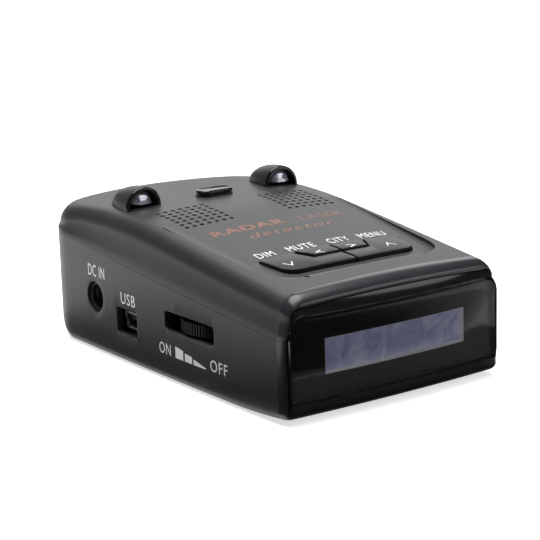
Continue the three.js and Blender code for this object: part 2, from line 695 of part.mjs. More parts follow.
function bracketGuide() {
  const floor = box([-GUIDE.half, GUIDE.half], [GUIDE.y0, GUIDE.y1], [GUIDE.floorLow, GUIDE.floorHigh]);
  const rails = [-1, 1].map((side) => box(
    side < 0 ? [-GUIDE.half, -GUIDE.half + 1.2] : [GUIDE.half - 1.2, GUIDE.half],
    [GUIDE.y0, GUIDE.y1],
    [GUIDE.floorHigh - EPS, 31.4],
  ));
  const lips = [-1, 1].map((side) => box(
    side < 0 ? [-GUIDE.half, -SLOT.half] : [SLOT.half, GUIDE.half],
    [CATCH.y1 + 1.4, GUIDE.y1],
    [GUIDE.floorHigh - EPS, 31.4],
  ));
  const stop = box([-GUIDE.half, GUIDE.half], [GUIDE.y0, CATCH.y0 - 0.5], [GUIDE.floorHigh - EPS, 31.4]);
  const seatHalf = 3.4;
  const [seatLow, seatHigh] = [SPRING.low - 1.5, SPRING.low - GAP];
  const seat = box([-seatHalf, seatHalf], [SPRING.y - seatHalf, SPRING.y + seatHalf], [seatLow, seatHigh]);
  const hangers = [-1, 1].map((end) => {
    const middle = SPRING.y + end * (seatHalf - 0.5);
    return box([-seatHalf, seatHalf], [middle - 0.5, middle + 0.5], [seatLow, GUIDE.floorLow + EPS]);
  });
  const window = box([-11.8, 11.8], [CATCH.y0 - 0.4, CATCH.y1 + 0.4], [GUIDE.floorLow - 1, 40]);
  const channel = join(floor, ...rails, ...lips, stop);
  return join(cut(channel, window), seat, ...hangers).intersect(casing(WALL + GAP, WALL, ROOF + 2 * GAP));
}

// ---------- volume wheel ----------

const WHEEL = { x: -HALF + 9.8, y: WHEEL_SLOT.y, radius: 10.4, low: 12.7, high: 16.1, ribs: 36 };
const POT = { half: 5, top: 12.3, shaftR: 1.5 };

function volumeWheel() {
  const points = [];
  for (let k = 0; k < WHEEL.ribs * 2; k += 1) {
    const turn = (k / WHEEL.ribs) * Math.PI;
    const radius = k % 2 ? WHEEL.radius : WHEEL.radius - 0.45;
    points.push(new THREE.Vector2(radius * Math.cos(turn), radius * Math.sin(turn)));
  }
  const disc = extrude(points, WHEEL.low, WHEEL.high);
  const hole = rod('z', POT.shaftR + GAP / 2, WHEEL.low - 1, WHEEL.high + 1, [0, 0], 16);
  const dish = rod('z', WHEEL.radius - 2.2, WHEEL.high - 1, WHEEL.high + 1, [0, 0], 24);
  return placed(cut(disc, hole, dish), { at: [WHEEL.x, WHEEL.y, 0] });
}

const volumeShaft = () => rod('z', POT.shaftR, POT.top + GAP, WHEEL.high + 0.3, [WHEEL.x, WHEEL.y], 16);

function volumePot() {
  const body = box(
    [WHEEL.x - POT.half, WHEEL.x + POT.half],
    [WHEEL.y - POT.half, WHEEL.y + POT.half],
    [BOARD_TOP_Z + GAP, POT.top - 0.4],
  );
  const collar = rod('z', 3, BOARD_TOP_Z + 1, POT.top, [WHEEL.x, WHEEL.y], 16);
  return join(body, collar);
}

// ---------- sockets ----------

const JACK = { wide: 9, front: -HALF + WALL, back: -17.5, boreR: 3.2, pinR: 0.95 };

function dcJackHousing() {
  const block = box(
    [JACK.front, JACK.back],
    [DC.y - JACK.wide / 2, DC.y + JACK.wide / 2],
    [BOARD_TOP_Z + GAP, DC.z + 4.4],
  );
  return cut(block, rod('x', JACK.boreR, JACK.front - 1, JACK.back - 2, [DC.y, DC.z], 20));
}

const dcJackPin = () => rod('x', JACK.pinR, -25.8, JACK.back - 2 - GAP, [DC.y, DC.z], 12);

const PORT = { wide: 7.7, high: 3.95, long: 9, wall: 0.4, front: -HALF + WALL - 0.5 };

function usbOutline(shrink) {
  const [w, h] = [PORT.wide / 2 - shrink, PORT.high / 2 - shrink];
  const taper = 1;
  return vectors([[-w + taper, -h], [w - taper, -h], [w, -h + taper], [w, h], [-w, h], [-w, -h + taper]]);
}

function usbShell() {
  const turned = { at: [PORT.front, USB.y, USB.z], turn: [Math.PI / 2, Math.PI / 2, 0] };
  const outer = extrude(usbOutline(0), 0, PORT.long);
  const inner = extrude(usbOutline(PORT.wall), -1, PORT.long - 1);
  return placed(cut(outer, inner), turned);
}

const usbTongue = () => box(
  [PORT.front + 0.8, PORT.front + PORT.long - 1 - GAP],
  [USB.y - 2.6, USB.y + 2.6],
  [USB.z - 0.3, USB.z + 0.6],
);

// ---------- boards and their parts ----------

const onBoard = BOARD_TOP_Z + GAP;

const BOARD = { half: HALF - WALL - 1, front: 4.5, rear: REAR_Y - 8, corner: 5 };

// The board is notched round the front screw posts and narrow between the rear ones.
function mainBoard() {
  const [[, frontY], , [, rearY]] = BOSSES;
  const narrow = BOSSES[1][0] - BOSS_R - 0.5;
  const wideFrom = frontY + BOSS_R + 0.5;
  const wideTo = rearY - BOSS_R - 0.5;
  const right = vectors([
    [0, BOARD.front], [narrow, BOARD.front], [narrow, wideFrom], [BOARD.half, wideFrom],
    [BOARD.half, wideTo], [narrow, wideTo], [narrow, BOARD.rear - BOARD.corner],
    [narrow - BOARD.corner, BOARD.rear], [0, BOARD.rear],
  ]);
  return extrude(mirrored(right), BOARD_TOP_Z - BOARD_THICK, BOARD_TOP_Z);
}

const HORN = { x: [-16.5, 2.5], y: [72, 100], z: [onBoard, 21.2] };

function hornAntenna() {
  const taperTo = HORN.y[0] + 14;
  const outline = vectors([
    [HORN.x[0] + 3, HORN.y[0]], [HORN.x[1] - 3, HORN.y[0]], [HORN.x[1] - 3, taperTo - 4],
    [HORN.x[1], HORN.y[1]], [HORN.x[0], HORN.y[1]], [HORN.x[0] + 3, taperTo - 4],
  ]);
  const block = extrude(outline, ...HORN.z);
  const mouth = extrude(vectors([
    [HORN.x[0] + 6, taperTo - 4], [HORN.x[1] - 6, taperTo - 4],
    [HORN.x[1] - 1, HORN.y[1] + 1], [HORN.x[0] + 1, HORN.y[1] + 1],
  ]), HORN.z[0] + 1.6, HORN.z[1] - 1.6);
  return cut(block, mouth);
}

const LASER = { x: 12.6, z: 16.4, radius: 5.4, holder: [84, 97.5], lensY: 94.8, sensor: [82.2, 83.7] };

function laserLensHolder() {
  const [y0, y1] = LASER.holder;
  const tube = box([LASER.x - 6.6, LASER.x + 6.6], [y0, y1], [onBoard, LASER.z + 6.4]);
  const bore = rod('y', LASER.radius - 0.8, y0 + 1.5, y1 + 1, [LASER.x, LASER.z], 20);
  const seat = rod('y', LASER.radius + GAP, y1 - 3, y1 + 1, [LASER.x, LASER.z], 20);
  const sensor = box([LASER.x - 3, LASER.x + 3], [y0 - 1, y0 + 2], [LASER.z - 3, LASER.z + 3]);
  return cut(tube, bore, seat, sensor);
}

function laserLens() {
  const profile = [[0, 0], [LASER.radius, 0], [LASER.radius, 1], [LASER.radius * 0.7, 1.9], [0, 2.5]];
  return placed(lathe(profile, 20), { at: [LASER.x, LASER.lensY, LASER.z], turn: [-Math.PI / 2, 0, 0] });
}

const laserSensor = () => box(
  [LASER.x - 2.5, LASER.x + 2.5],
  LASER.sensor,
  [onBoard, LASER.z + 2.5],
);

function laserWindow() {
  const block = box(
    [LASER_OPENING.x[0] + GAP, LASER_OPENING.x[1] - GAP],
    [REAR_Y - 9, REAR_Y + 1],
    [LASER_OPENING.z[0] + GAP, LASER_OPENING.z[1] - GAP],
  );
  return cut(block.intersect(casing(0.2, 0, 0)), casing(WALL, 0, 0));
}

function speakerParts() {
  const r = SPEAKER.radius - GAP;
  const frame = lathe([
    [r - 1.5, -0.6], [r - 1.5, -1.4], [6, -3.4], [5.2, -3.6], [5.2, -4.4], [6.4, -4.4],
    [r, -2.2], [r, -0.6], [r - 1.5, -0.6],
  ], 24);
  const cone = lathe([[0, -2.4], [3, -2.2], [r - 1.9, -1], [r - 1.9, -0.7], [3, -1.6], [0, -1.8]], 24);
  const magnet = lathe([[0, -5.6], [4.8, -5.6], [4.8, -2.9], [0, -2.9]], 20);
  const [speaker_frame, speaker_cone, speaker_magnet] = [frame, cone, magnet].map(
    (solid) => placed(solid, SPEAKER_SEAT),
  );
  return { speaker_frame, speaker_cone, speaker_magnet };
}

function caseScrew([x, y]) {
  const top = partingZ(y) + 5;
  const head = rod('z', SCREW_HEAD_R, 1.2, SCREW_HEAD_SEAT_Z - GAP, [x, y], 16);
  const shank = rod('z', BOSS_BORE_R - GAP, SCREW_HEAD_SEAT_Z - GAP - EPS, top, [x, y], 12);
  const cross = [box([x - 1.5, x + 1.5], [y - 0.35, y + 0.35], [1, 2]),
    box([x - 0.35, x + 0.35], [y - 1.5, y + 1.5], [1, 2])];
  return cut(join(head, shank), ...cross);
}

function ribbonCable() {
  const across = [-7.5, 2];
  const thick = 0.35;
  const [nearY, farY] = [23.8, 28];
  const [high, low] = [21.1, BOARD_TOP_Z + GAP];
  return join(
    box(across, [nearY, farY], [high - thick, high]),
    box(across, [farY - thick, farY], [low, high]),
    box(across, [nearY, farY], [low, low + thick]),
  );
}

const GPS = { x: [3, 21], y: [28, 46], high: 4 };
const SHIELD = { x: [-8, 8], y: [10, 22.5], high: 2.6 };
const BATTERY = { radius: 5, high: 2.2, at: [14, 16] };
const DISPLAY_BOARD = { x: [-24, 24], y: [2, 3.2], z: [5.8, 21] };

// ---------- assembly ----------

const FINISH = {
  soft_black: { color: 0x2b2b2d, roughness: 0.6, metalness: 0 },
  inner_black: { color: 0x1a1a1b, roughness: 0.7, metalness: 0 },
  gloss_black: { color: 0x08080a, roughness: 0.12, metalness: 0 },
  smoked_clear: { color: 0x0b0b0e, roughness: 0.05, metalness: 0, opacity: 0.5, transparent: true },
  clear: { color: 0xd8dbe2, roughness: 0.05, metalness: 0, opacity: 0.6, transparent: true },
  screen_film: { color: 0x8f95b5, roughness: 0.35, metalness: 0 },
  board_green: { color: 0x1d4a2c, roughness: 0.5, metalness: 0 },
  board_black: { color: 0x15171a, roughness: 0.5, metalness: 0 },
  tin: { color: 0xb9bbbd, roughness: 0.3, metalness: 1 },
  die_cast: { color: 0x9c9ea1, roughness: 0.45, metalness: 1 },
  steel: { color: 0x8a8c90, roughness: 0.3, metalness: 1 },
  ceramic: { color: 0xc9b79c, roughness: 0.6, metalness: 0 },
  paper: { color: 0x3a3836, roughness: 0.9, metalness: 0 },
  label_grey: { color: 0xb9bab8, roughness: 0.6, metalness: 0 },
  red_filter: { color: 0x2a0509, roughness: 0.08, metalness: 0, opacity: 0.8, transparent: true },
};

const detector = new THREE.Group();
detector.position.y = ORIGIN_SHIFT;

function add(name, solid, finish) {
  const mesh = new THREE.Mesh(toGeometry(solid), new THREE.MeshStandardMaterial(FINISH[finish]));
  mesh.name = name;
  detector.add(mesh);
}

add('top_cover', topCover(), 'soft_black');
add('bottom_cover', bottomCover(), 'soft_black');
add('display_bezel', displayBezel(), 'gloss_black');
add('display_window', displayWindow(), 'smoked_clear');
add('display_holder', displayHolder(), 'inner_black');
add('display_film', displayLayer(21.7, 1.9, -0.6, -0.3), 'screen_film');
add('display_panel', displayLayer(21.7, 1.9, 0, 1.6), 'clear');
add('display_board', box(DISPLAY_BOARD.x, DISPLAY_BOARD.y, DISPLAY_BOARD.z), 'board_green');

for (const name of Object.keys(KEY_OUTLINES)) {
  add(name, keyCap(name), 'gloss_black');
  const word = name.replace('key_', '');
  add(`tact_switch_${word}`, tactSwitch(word), 'steel');
}
add('key_board', keyBoard(), 'board_green');
add('ribbon_cable', ribbonCable(), 'label_grey');

for (const [side, word] of [[-1, 'left'], [1, 'right']]) {
  add(`${word}_dome_hood`, domeHood(side), 'soft_black');
  add(`${word}_dome_ring`, domeRing(side), 'gloss_black');
  add(`${word}_alert_crystal`, alertCrystal(side), 'clear');
  add(`${word}_alert_led`, alertLed(side), 'board_black');
}

add('release_button', releaseButton(), 'gloss_black');
add('release_catch', releaseCatch(), 'inner_black');
add('release_spring', releaseSpring(), 'steel');
add('bracket_guide', bracketGuide(), 'inner_black');

add('volume_wheel', volumeWheel(), 'inner_black');
add('volume_shaft', volumeShaft(), 'steel');
add('volume_pot', volumePot(), 'board_black');

add('dc_jack_housing', dcJackHousing(), 'inner_black');
add('dc_jack_pin', dcJackPin(), 'tin');
add('usb_shell', usbShell(), 'tin');
add('usb_tongue', usbTongue(), 'inner_black');

add('main_board', mainBoard(), 'board_green');
add('horn_antenna', hornAntenna(), 'die_cast');
add('laser_window', laserWindow(), 'red_filter');
add('laser_lens_holder', laserLensHolder(), 'inner_black');
add('laser_lens', laserLens(), 'clear');
add('laser_sensor', laserSensor(), 'board_black');
add('gps_antenna', box(GPS.x, GPS.y, [onBoard, onBoard + GPS.high]), 'ceramic');
add('processor_shield', box(SHIELD.x, SHIELD.y, [onBoard, onBoard + SHIELD.high]), 'tin');
add('backup_battery', rod('z', BATTERY.radius, onBoard, onBoard + BATTERY.high, BATTERY.at, 24), 'tin');
const speaker = speakerParts();
add('speaker_frame', speaker.speaker_frame, 'board_black');
add('speaker_cone', speaker.speaker_cone, 'paper');
add('speaker_magnet', speaker.speaker_magnet, 'steel');
BOSSES.forEach((place, i) => add(`case_screw_${i + 1}`, caseScrew(place), 'steel'));
add('rating_label', box(
  [-LABEL.wide / 2 + GAP, LABEL.wide / 2 - GAP],
  [LABEL.y - LABEL.long / 2 + GAP, LABEL.y + LABEL.long / 2 - GAP],
  [0.1, LABEL.recess - GAP],
), 'label_grey');

export default detector;
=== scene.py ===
"""Looks of a dashboard radar detector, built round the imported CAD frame.

Shapes are worked out in millimetres, with y counted from the front edge of the side walls and z from the
underside; metres() puts them in the frame. -Y is the display end, -X the side with the sockets.
"""
import math
import random

import bmesh
import bpy
from mathutils import Matrix, Vector


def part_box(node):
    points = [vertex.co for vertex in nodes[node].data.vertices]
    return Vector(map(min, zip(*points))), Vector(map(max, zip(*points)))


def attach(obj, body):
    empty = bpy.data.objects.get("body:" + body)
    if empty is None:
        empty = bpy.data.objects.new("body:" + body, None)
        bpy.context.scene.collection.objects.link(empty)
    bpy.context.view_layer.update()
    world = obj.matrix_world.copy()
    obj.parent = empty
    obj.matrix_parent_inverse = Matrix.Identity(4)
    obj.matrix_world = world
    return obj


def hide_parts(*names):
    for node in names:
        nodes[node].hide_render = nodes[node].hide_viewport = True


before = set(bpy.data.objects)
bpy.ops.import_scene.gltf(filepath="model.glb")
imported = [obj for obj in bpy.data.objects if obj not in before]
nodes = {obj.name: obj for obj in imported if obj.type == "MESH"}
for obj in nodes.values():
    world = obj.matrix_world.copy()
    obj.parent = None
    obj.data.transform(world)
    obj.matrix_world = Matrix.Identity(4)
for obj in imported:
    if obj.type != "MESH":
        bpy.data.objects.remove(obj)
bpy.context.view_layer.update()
random.seed(7)

# ---------------------------------------------------------------- dimensions

HALF = 30.0
SIDE_BOW = 0.6
LENGTH = 110.0
PROUD = 4.2
REAR = LENGTH - PROUD
SHIFT = PROUD - LENGTH / 2
WALL = 2.0
ROOF = 2.6
PARTING_Z, PARTING_SLOPE = 18.44, 0.094
TOP_Z, TOP_SLOPE, BEND_Y, BEND, CROWN = 28.6, 0.1265, 47.5, 0.0027, 0.00145
SHOULDER_R, LEAN, LEAN_HIGH = 4.2, 1.2, 4.0
EDGE_R, REAR_EDGE_R = 2.0, 9.0
LIFT, LIFT_Y = 0.9, 18.0
CORNER_R, CORNER_TURN = 14.0, math.radians(69)
PANEL_END, PANEL_FRONT, PANEL_SLOPE = 52.0, 7.0, 0.027
SKIN_Y = 1.0                        # the rim round the display starts to curl in here
SPINE_END = REAR - 2 * CORNER_R
FACE_BOW = 1.3
WINDOW = dict(half=28.7, low=4.65, high=23.75, low_r=0.5, high_r=3.6)
SCREEN = dict(half=19.4, low=9.85, high=17.65)
KEY_Y = 16.0
TILT = math.atan(TOP_SLOPE + PANEL_SLOPE)


def clamp(value, low, high):
    return max(low, min(high, value))


def lerp(a, b, t):
    return a + (b - a) * t


def smoothstep(value, low, high):
    t = clamp((value - low) / (high - low), 0.0, 1.0)
    return t * t * (3 - 2 * t)


def parting(y):
    return PARTING_Z + PARTING_SLOPE * y


def top(x, y):
    return TOP_Z + TOP_SLOPE * y - BEND * max(0.0, y - BEND_Y) ** 2 - CROWN * x * x


def panel(x, y):
    return top(x, y) - PANEL_SLOPE * (PANEL_END - y)


def bow(y):
    middle = LENGTH / 2 - PROUD
    return SIDE_BOW * (1 - min(1.0, abs(y - middle) / middle) ** 2)


def underside(y):
    return LIFT * (max(0.0, LIFT_Y - max(0.0, y)) / LIFT_Y) ** 2


def edge_radius(y):
    return lerp(EDGE_R, REAR_EDGE_R, smoothstep(y, REAR - 2 * REAR_EDGE_R, REAR - EDGE_R))


def lean(x, y):
    return LEAN * clamp((top(x, y) - parting(y) - SHOULDER_R) / LEAN_HIGH, 0.0, 1.0)


def face_y(x, back=0.0):
    return FACE_BOW - PROUD + back - FACE_BOW * (1 - (x / WINDOW["half"]) ** 2)


def metres(point):
    return (point[0] / 1000, (point[1] + SHIFT) / 1000, point[2] / 1000)


# ---------------------------------------------------------------- meshes

def tidy_mesh(mesh, sharp=32.0, weld=2e-6):
    work = bmesh.new()
    work.from_mesh(mesh)
    bmesh.ops.remove_doubles(work, verts=work.verts, dist=weld)
    bmesh.ops.dissolve_degenerate(work, edges=work.edges, dist=weld / 2)
    bmesh.ops.recalc_face_normals(work, faces=work.faces)
    limit = math.radians(sharp)
    for edge in work.edges:
        flat = len(edge.link_faces) != 2
        edge.smooth = not (flat or edge.calc_face_angle(0.0) > limit)
    for face in work.faces:
        face.smooth = True
    work.to_mesh(mesh)
    work.free()


def make(name, verts, faces, sharp=32.0):
    mesh = bpy.data.meshes.new(name)
    mesh.from_pydata([metres(v) for v in verts], [], faces)
    tidy_mesh(mesh, sharp)
    piece = bpy.data.objects.new(name, mesh)
    bpy.context.collection.objects.link(piece)
    return piece


def modified(piece):
    """The mesh with its modifiers applied, as plain data."""
    bpy.context.view_layer.update()
    graph = bpy.context.evaluated_depsgraph_get()
    mesh = bpy.data.meshes.new_from_object(piece.evaluated_get(graph))
    piece.modifiers.clear()
    piece.data = mesh


def carve(piece, cutters, operation="DIFFERENCE"):
    for cutter in cutters:
        step = piece.modifiers.new("carve", "BOOLEAN")
        step.operation = operation
        step.solver = "EXACT"
        step.object = cutter
    modified(piece)
    for cutter in cutters:
        bpy.data.objects.remove(cutter, do_unlink=True)


# slot 1 carries the painted edge highlight on rounded edges, slot 2 the polished rim
EDGE_HIGHLIGHT_SLOT, RIM_SLOT = 1, 2


def rounded(piece, width, angle=38.0, segments=2, sharp=32.0, skip=None):
    """Small rounded edges on every corner steeper than the angle, apart from those that skip names."""
    tidy_mesh(piece.data, sharp)
    work = bmesh.new()
    work.from_mesh(piece.data)
    weight = work.edges.layers.float.new("bevel_weight_edge")
    for edge in work.edges:
        steep = len(edge.link_faces) == 2 and edge.calc_face_angle(0.0) > math.radians(angle)
        middle = (edge.verts[0].co + edge.verts[1].co) * 500
        if steep and not (skip and skip(middle.x, middle.y - SHIFT, middle.z)):
            edge[weight] = 1.0
    work.to_mesh(piece.data)
    work.free()
    step = piece.modifiers.new("round", "BEVEL")
    step.width = width / 1000
    # the rounded faces go to the slot of the painted edge highlight
    step.material = EDGE_HIGHLIGHT_SLOT if len(piece.data.materials) else -1
    step.segments = segments
    step.limit_method = "WEIGHT"
    step.use_clamp_overlap = False
    step.miter_outer = "MITER_ARC"
    modified(piece)
    tidy_mesh(piece.data, sharp)


def joined(name, parts):
    """Several meshes as one object."""
    verts, faces = [], []
    for part in parts:
        base = len(verts)
        verts += [tuple(v.co) for v in part.data.vertices]
        faces += [[base + i for i in face.vertices] for face in part.data.polygons]
        bpy.data.objects.remove(part, do_unlink=True)
    mesh = bpy.data.meshes.new(name)
    mesh.from_pydata(verts, [], faces)
    tidy_mesh(mesh)
    piece = bpy.data.objects.new(name, mesh)
    bpy.context.collection.objects.link(piece)
    return piece


def skin(name, rings, ends=True, sharp=32.0):
    """A skin over rings of equal length, closed round, with flat ends."""
    count = len(rings[0])
    verts = [p for ring in rings for p in ring]
    faces = []
    for r in range(len(rings) - 1):
        for i in range(count):
            j = (i + 1) % count
            faces.append((r * count + i, r * count + j, (r + 1) * count + j, (r + 1) * count + i))
    if ends:
        last = (len(rings) - 1) * count
        faces.append(tuple(range(count))[::-1])
        faces.append(tuple(last + i for i in range(count)))
    return make(name, verts, faces, sharp)


def lathe(name, profile, at, axis="z", sides=48, sharp=32.0):
    """A turned shape: profile holds (radius, along), and axis is where along points."""
    rings = []
    for radius, along in profile:
        ring = []
        for k in range(sides):
            turn = 2 * math.pi * k / sides
            u, v = radius * math.cos(turn), radius * math.sin(turn)
            place = {"x": (along, u, v), "y": (u, along, v), "z": (u, v, along)}[axis]
            ring.append(tuple(a + b for a, b in zip(place, at)))
        rings.append(ring)
    return skin(name, rings, True, sharp)


def outline_prism(name, outline, low, high, place=lambda x, y, z: (x, y, z)):
    rings = [[place(x, y, z) for x, y in outline] for z in (low, high)]
    return skin(name, rings)


def block(name, x, y, z):
    corners = [(x[0], y[0]), (x[1], y[0]), (x[1], y[1]), (x[0], y[1])]
    return outline_prism(name, corners, z[0], z[1])


def arc(cx, cy, radius, start, end, steps):
    return [(cx + radius * math.cos(lerp(start, end, k / steps)),
             cy + radius * math.sin(lerp(start, end, k / steps))) for k in range(steps + 1)]


def inset(points, distance):
    """Moves a closed anticlockwise outline inwards."""
    out = []
    for i, (x, y) in enumerate(points):
        bx, by = points[i - 1]
        ax, ay = points[(i + 1) % len(points)]
        size = math.hypot(ax - bx, ay - by) or 1.0
        out.append((x - (ay - by) / size * distance, y + (ax - bx) / size * distance))
    return out


# ---------------------------------------------------------------- casing skins

def side_line():
    """The plan of the casing from its right front, round the windshield end, to its left front."""
    cx = HALF - CORNER_R
    end_x = cx + CORNER_R * math.cos(CORNER_TURN)
    end_y = REAR - end_x / 2 / math.tan(CORNER_TURN)
    cy = end_y - CORNER_R * math.sin(CORNER_TURN)
    count = 56
    right = [(HALF, lerp(SKIN_Y, cy, k / count)) for k in range(count)]
    right += arc(cx, cy, CORNER_R, 0.0, CORNER_TURN, 22)[:-1]
    for k in range(15):
        t = k / 14
        a, b, c = (1 - t) ** 2, 2 * t * (1 - t), t * t
        right.append((a * end_x + b * end_x / 2, a * end_y + b * REAR + c * REAR))
    right = [(x * (1 + bow(y) / HALF), y) for x, y in right]
    return right + [(-x, y) for x, y in right[-2::-1]]


LINE = side_line()


def line_normals():
    out = []
    last = len(LINE) - 1
    for i in range(len(LINE)):
        if i in (0, last):
            out.append((1.0 if i == 0 else -1.0, 0.0))
            continue
        (bx, by), (ax, ay) = LINE[i - 1], LINE[i + 1]
        size = math.hypot(ax - bx, ay - by)
        out.append(((ay - by) / size, -(ax - bx) / size))
    return out


NORMALS = line_normals()


def row(distance, height, share=0.0):
    """One row of a skin: the plan drawn in by distance(x, y), shrunk towards the middle by share."""
    out = []
    for (x, y), (nx, ny) in zip(LINE, NORMALS):
        away = distance(x, y)
        px, py = x - nx * away, y - ny * away
        qx, qy = px * (1 - share), lerp(py, clamp(py, SKIN_Y, SPINE_END), share)
        out.append((qx, qy, height(qx, qy, x, y)))
    return out


SEAM = 0.012


def top_rows(wall, roof, edge):
    """Rows from the parting line over the shoulder to the middle of the top."""
    radius = SHOULDER_R - wall
    rise = lambda x, y: min(radius + LEAN - lean(x, y), top(x, y) - roof - parting(y) - 0.5)
    foot = lambda x, y: top(x, y) - roof - rise(x, y)
    rows = [row(lambda x, y: wall + edge * 0.8, lambda a, b, x, y: parting(y) + SEAM)]
    rows.append(row(lambda x, y: wall + edge * 0.2, lambda a, b, x, y: parting(y) + SEAM + 0.04))
    rows.append(row(lambda x, y: wall, lambda a, b, x, y: parting(y) + 0.36))
    for s in (0.33, 0.66):
        rows.append(row(lambda x, y: wall + lean(x, y) * s,
                        lambda a, b, x, y: lerp(parting(y) + 0.36, foot(x, y), s)))
    steps = 10
    for k in range(steps + 1):
        turn = math.pi / 2 * k / steps
        rows.append(row(
            lambda x, y: wall + lean(x, y) + (radius + LEAN - lean(x, y)) * (1 - math.cos(turn)),
            lambda a, b, x, y: top(a, b) - roof - rise(x, y) * (1 - math.sin(turn))))
    for share in (0.05, 0.1, 0.17, 0.25, 0.33, 0.42, 0.51, 0.6, 0.7, 0.8, 0.9, 1.0):
        rows.append(row(lambda x, y: wall + LEAN + radius, lambda a, b, x, y: top(a, b) - roof, share))
    return rows


def bottom_rows(wall, edge):
    """Rows from the parting line down the side and round to the middle of the underside."""
    radius = lambda y: max(0.6, edge_radius(y) - wall)
    rows = [row(lambda x, y: wall + edge * 0.8, lambda a, b, x, y: parting(y) - SEAM)]
    rows.append(row(lambda x, y: wall + edge * 0.2, lambda a, b, x, y: parting(y) - SEAM - 0.04))
    rows.append(row(lambda x, y: wall, lambda a, b, x, y: parting(y) - 0.36))
    for s in (0.25, 0.5, 0.75):
        rows.append(row(lambda x, y: wall, lambda a, b, x, y: lerp(
            parting(y) - 0.36, wall + underside(b) + radius(y), s)))
    steps = 9
    for k in range(steps + 1):
        turn = math.pi / 2 * k / steps
        rows.append(row(lambda x, y: wall + radius(y) * (1 - math.cos(turn)),
                        lambda a, b, x, y: wall + underside(b) + radius(y) * (1 - math.sin(turn))))
    for share in (0.1, 0.25, 0.45, 0.7, 1.0):
        rows.append(row(lambda x, y: wall + radius(y), lambda a, b, x, y: wall + underside(b), share))
    return rows


RIM_SIDE, RIM_TOP, RIM_LOW = 0.75, 2.5, 1.3
RIM_STEPS = 10
RIM_POLISH_Y = 0.75                 # the rim is polished from here forwards


def rim_y(x):
    """Front of the casing's own rim, which curls in round the display."""
    return -2.1 - 1.2 * (1 - (x / HALF) ** 2)


def rim_inset(nx, nz):
    """How far the rim curls in, for a cross-section whose outward normal is (nx, nz)."""
    return RIM_SIDE * nx * nx + (RIM_TOP if nz > 0 else RIM_LOW) * nz * nz


def section_normals(points):
    """Outward normals of the right half of the cross-section, given from the parting line inwards."""
    out = []
    for i in range(len(points)):
        (bx, bz), (ax, az) = points[max(0, i - 1)], points[min(len(points) - 1, i + 1)]
        size = math.hypot(ax - bx, az - bz) or 1.0
        nx, nz = (az - bz) / size, -(ax - bx) / size
        if nx * bx < 0 or (abs(nx) < 0.05 and nz * (az - 14) < 0):
            nx, nz = -nx, -nz
        out.append((nx, nz))
    out[-1] = (0.0, math.copysign(1.0, out[-1][1]))
    return out


def casing_half(name, outer, inner):
    """A cover as one closed wall, with its share of the rim round the display."""
    cross = [(r[0][0], r[0][2]) for r in outer]
    normals = section_normals(cross)
    normals[0] = normals[1] = normals[2] = (1.0, 0.0)
    rows = []
    for k, (out_row, in_row) in enumerate(zip(outer, inner)):
        (cx, cz), (nx, nz) = cross[k], normals[k]
        curl = rim_inset(nx, nz)
        edge_x, edge_z = cx - nx * curl, cz - nz * curl
        lip = [(edge_x, rim_y(edge_x) + 1.2, edge_z)]
        for step in range(RIM_STEPS, 0, -1):
            turn = math.pi / 2 * step / RIM_STEPS
            x = cx - nx * curl * (1 - math.cos(turn))
            z = cz - nz * curl * (1 - math.cos(turn))
            lip.append((x, lerp(SKIN_Y, rim_y(x), math.sin(turn)), z))
        mirrored = [(-x, y, z) for x, y, z in reversed(lip)]
        rows.append(lip + out_row + mirrored + in_row[::-1])
    count = len(rows[0])
    verts = [p for r in rows for p in r]
    faces = []
    for r in range(len(rows) - 1):
        for i in range(count):
            j = (i + 1) % count
            faces.append((r * count + i, r * count + j, (r + 1) * count + j, (r + 1) * count + i))
    lips, line = RIM_STEPS + 1, len(LINE)
    for i in range(line - 1):
        faces.append((lips + i, lips + i + 1, count - 2 - i, count - 1 - i))
    faces.append(tuple(range(lips + 1)) + (count - 1,))
    faces.append(tuple(range(lips + line - 1, 2 * lips + line)) + (2 * lips + line,))
    return make(name, verts, faces), list(zip(cross, normals))


TOP_OUTER, BOTTOM_OUTER = top_rows(0.0, 0.0, 0.06), bottom_rows(0.0, 0.06)
casing_top, TOP_SECTION = casing_half("casing_top", TOP_OUTER, top_rows(WALL, ROOF, 0.0))
casing_bottom, BOTTOM_SECTION = casing_half("casing_bottom", BOTTOM_OUTER, bottom_rows(WALL, 0.0))


def stadium(wide, deep, steps=12, cx=0.0, cy=0.0, radius=None):
    r = radius or min(wide, deep) / 2 - 1e-3
    w, d = wide / 2 - r, deep / 2 - r
    out = arc(cx + w, cy - d, r, -math.pi / 2, 0, steps) + arc(cx + w, cy + d, r, 0, math.pi / 2, steps)
    return out + arc(cx - w, cy + d, r, math.pi / 2, math.pi, steps) + arc(cx - w, cy - d, r, math.pi, 1.5 * math.pi, steps)


def on_panel(x, v, up):
    """From the plane of the key group: x across, v up the slope, up out of the panel."""
    c, s = math.cos(TILT), math.sin(TILT)
    return (x, KEY_Y + v * c - up * s, panel(0, KEY_Y) + v * s + up * c)


def on_side(y, z, out):
    """A point on the socket side, out from the wall."""
    return (-HALF - bow(y) - out, y, z)


def quad_curve(a, b, c, steps):
    return [tuple((1 - t) ** 2 * p + 2 * t * (1 - t) * q + t * t * r for p, q, r in zip(a, b, c))
            for t in (k / steps for k in range(steps + 1))]


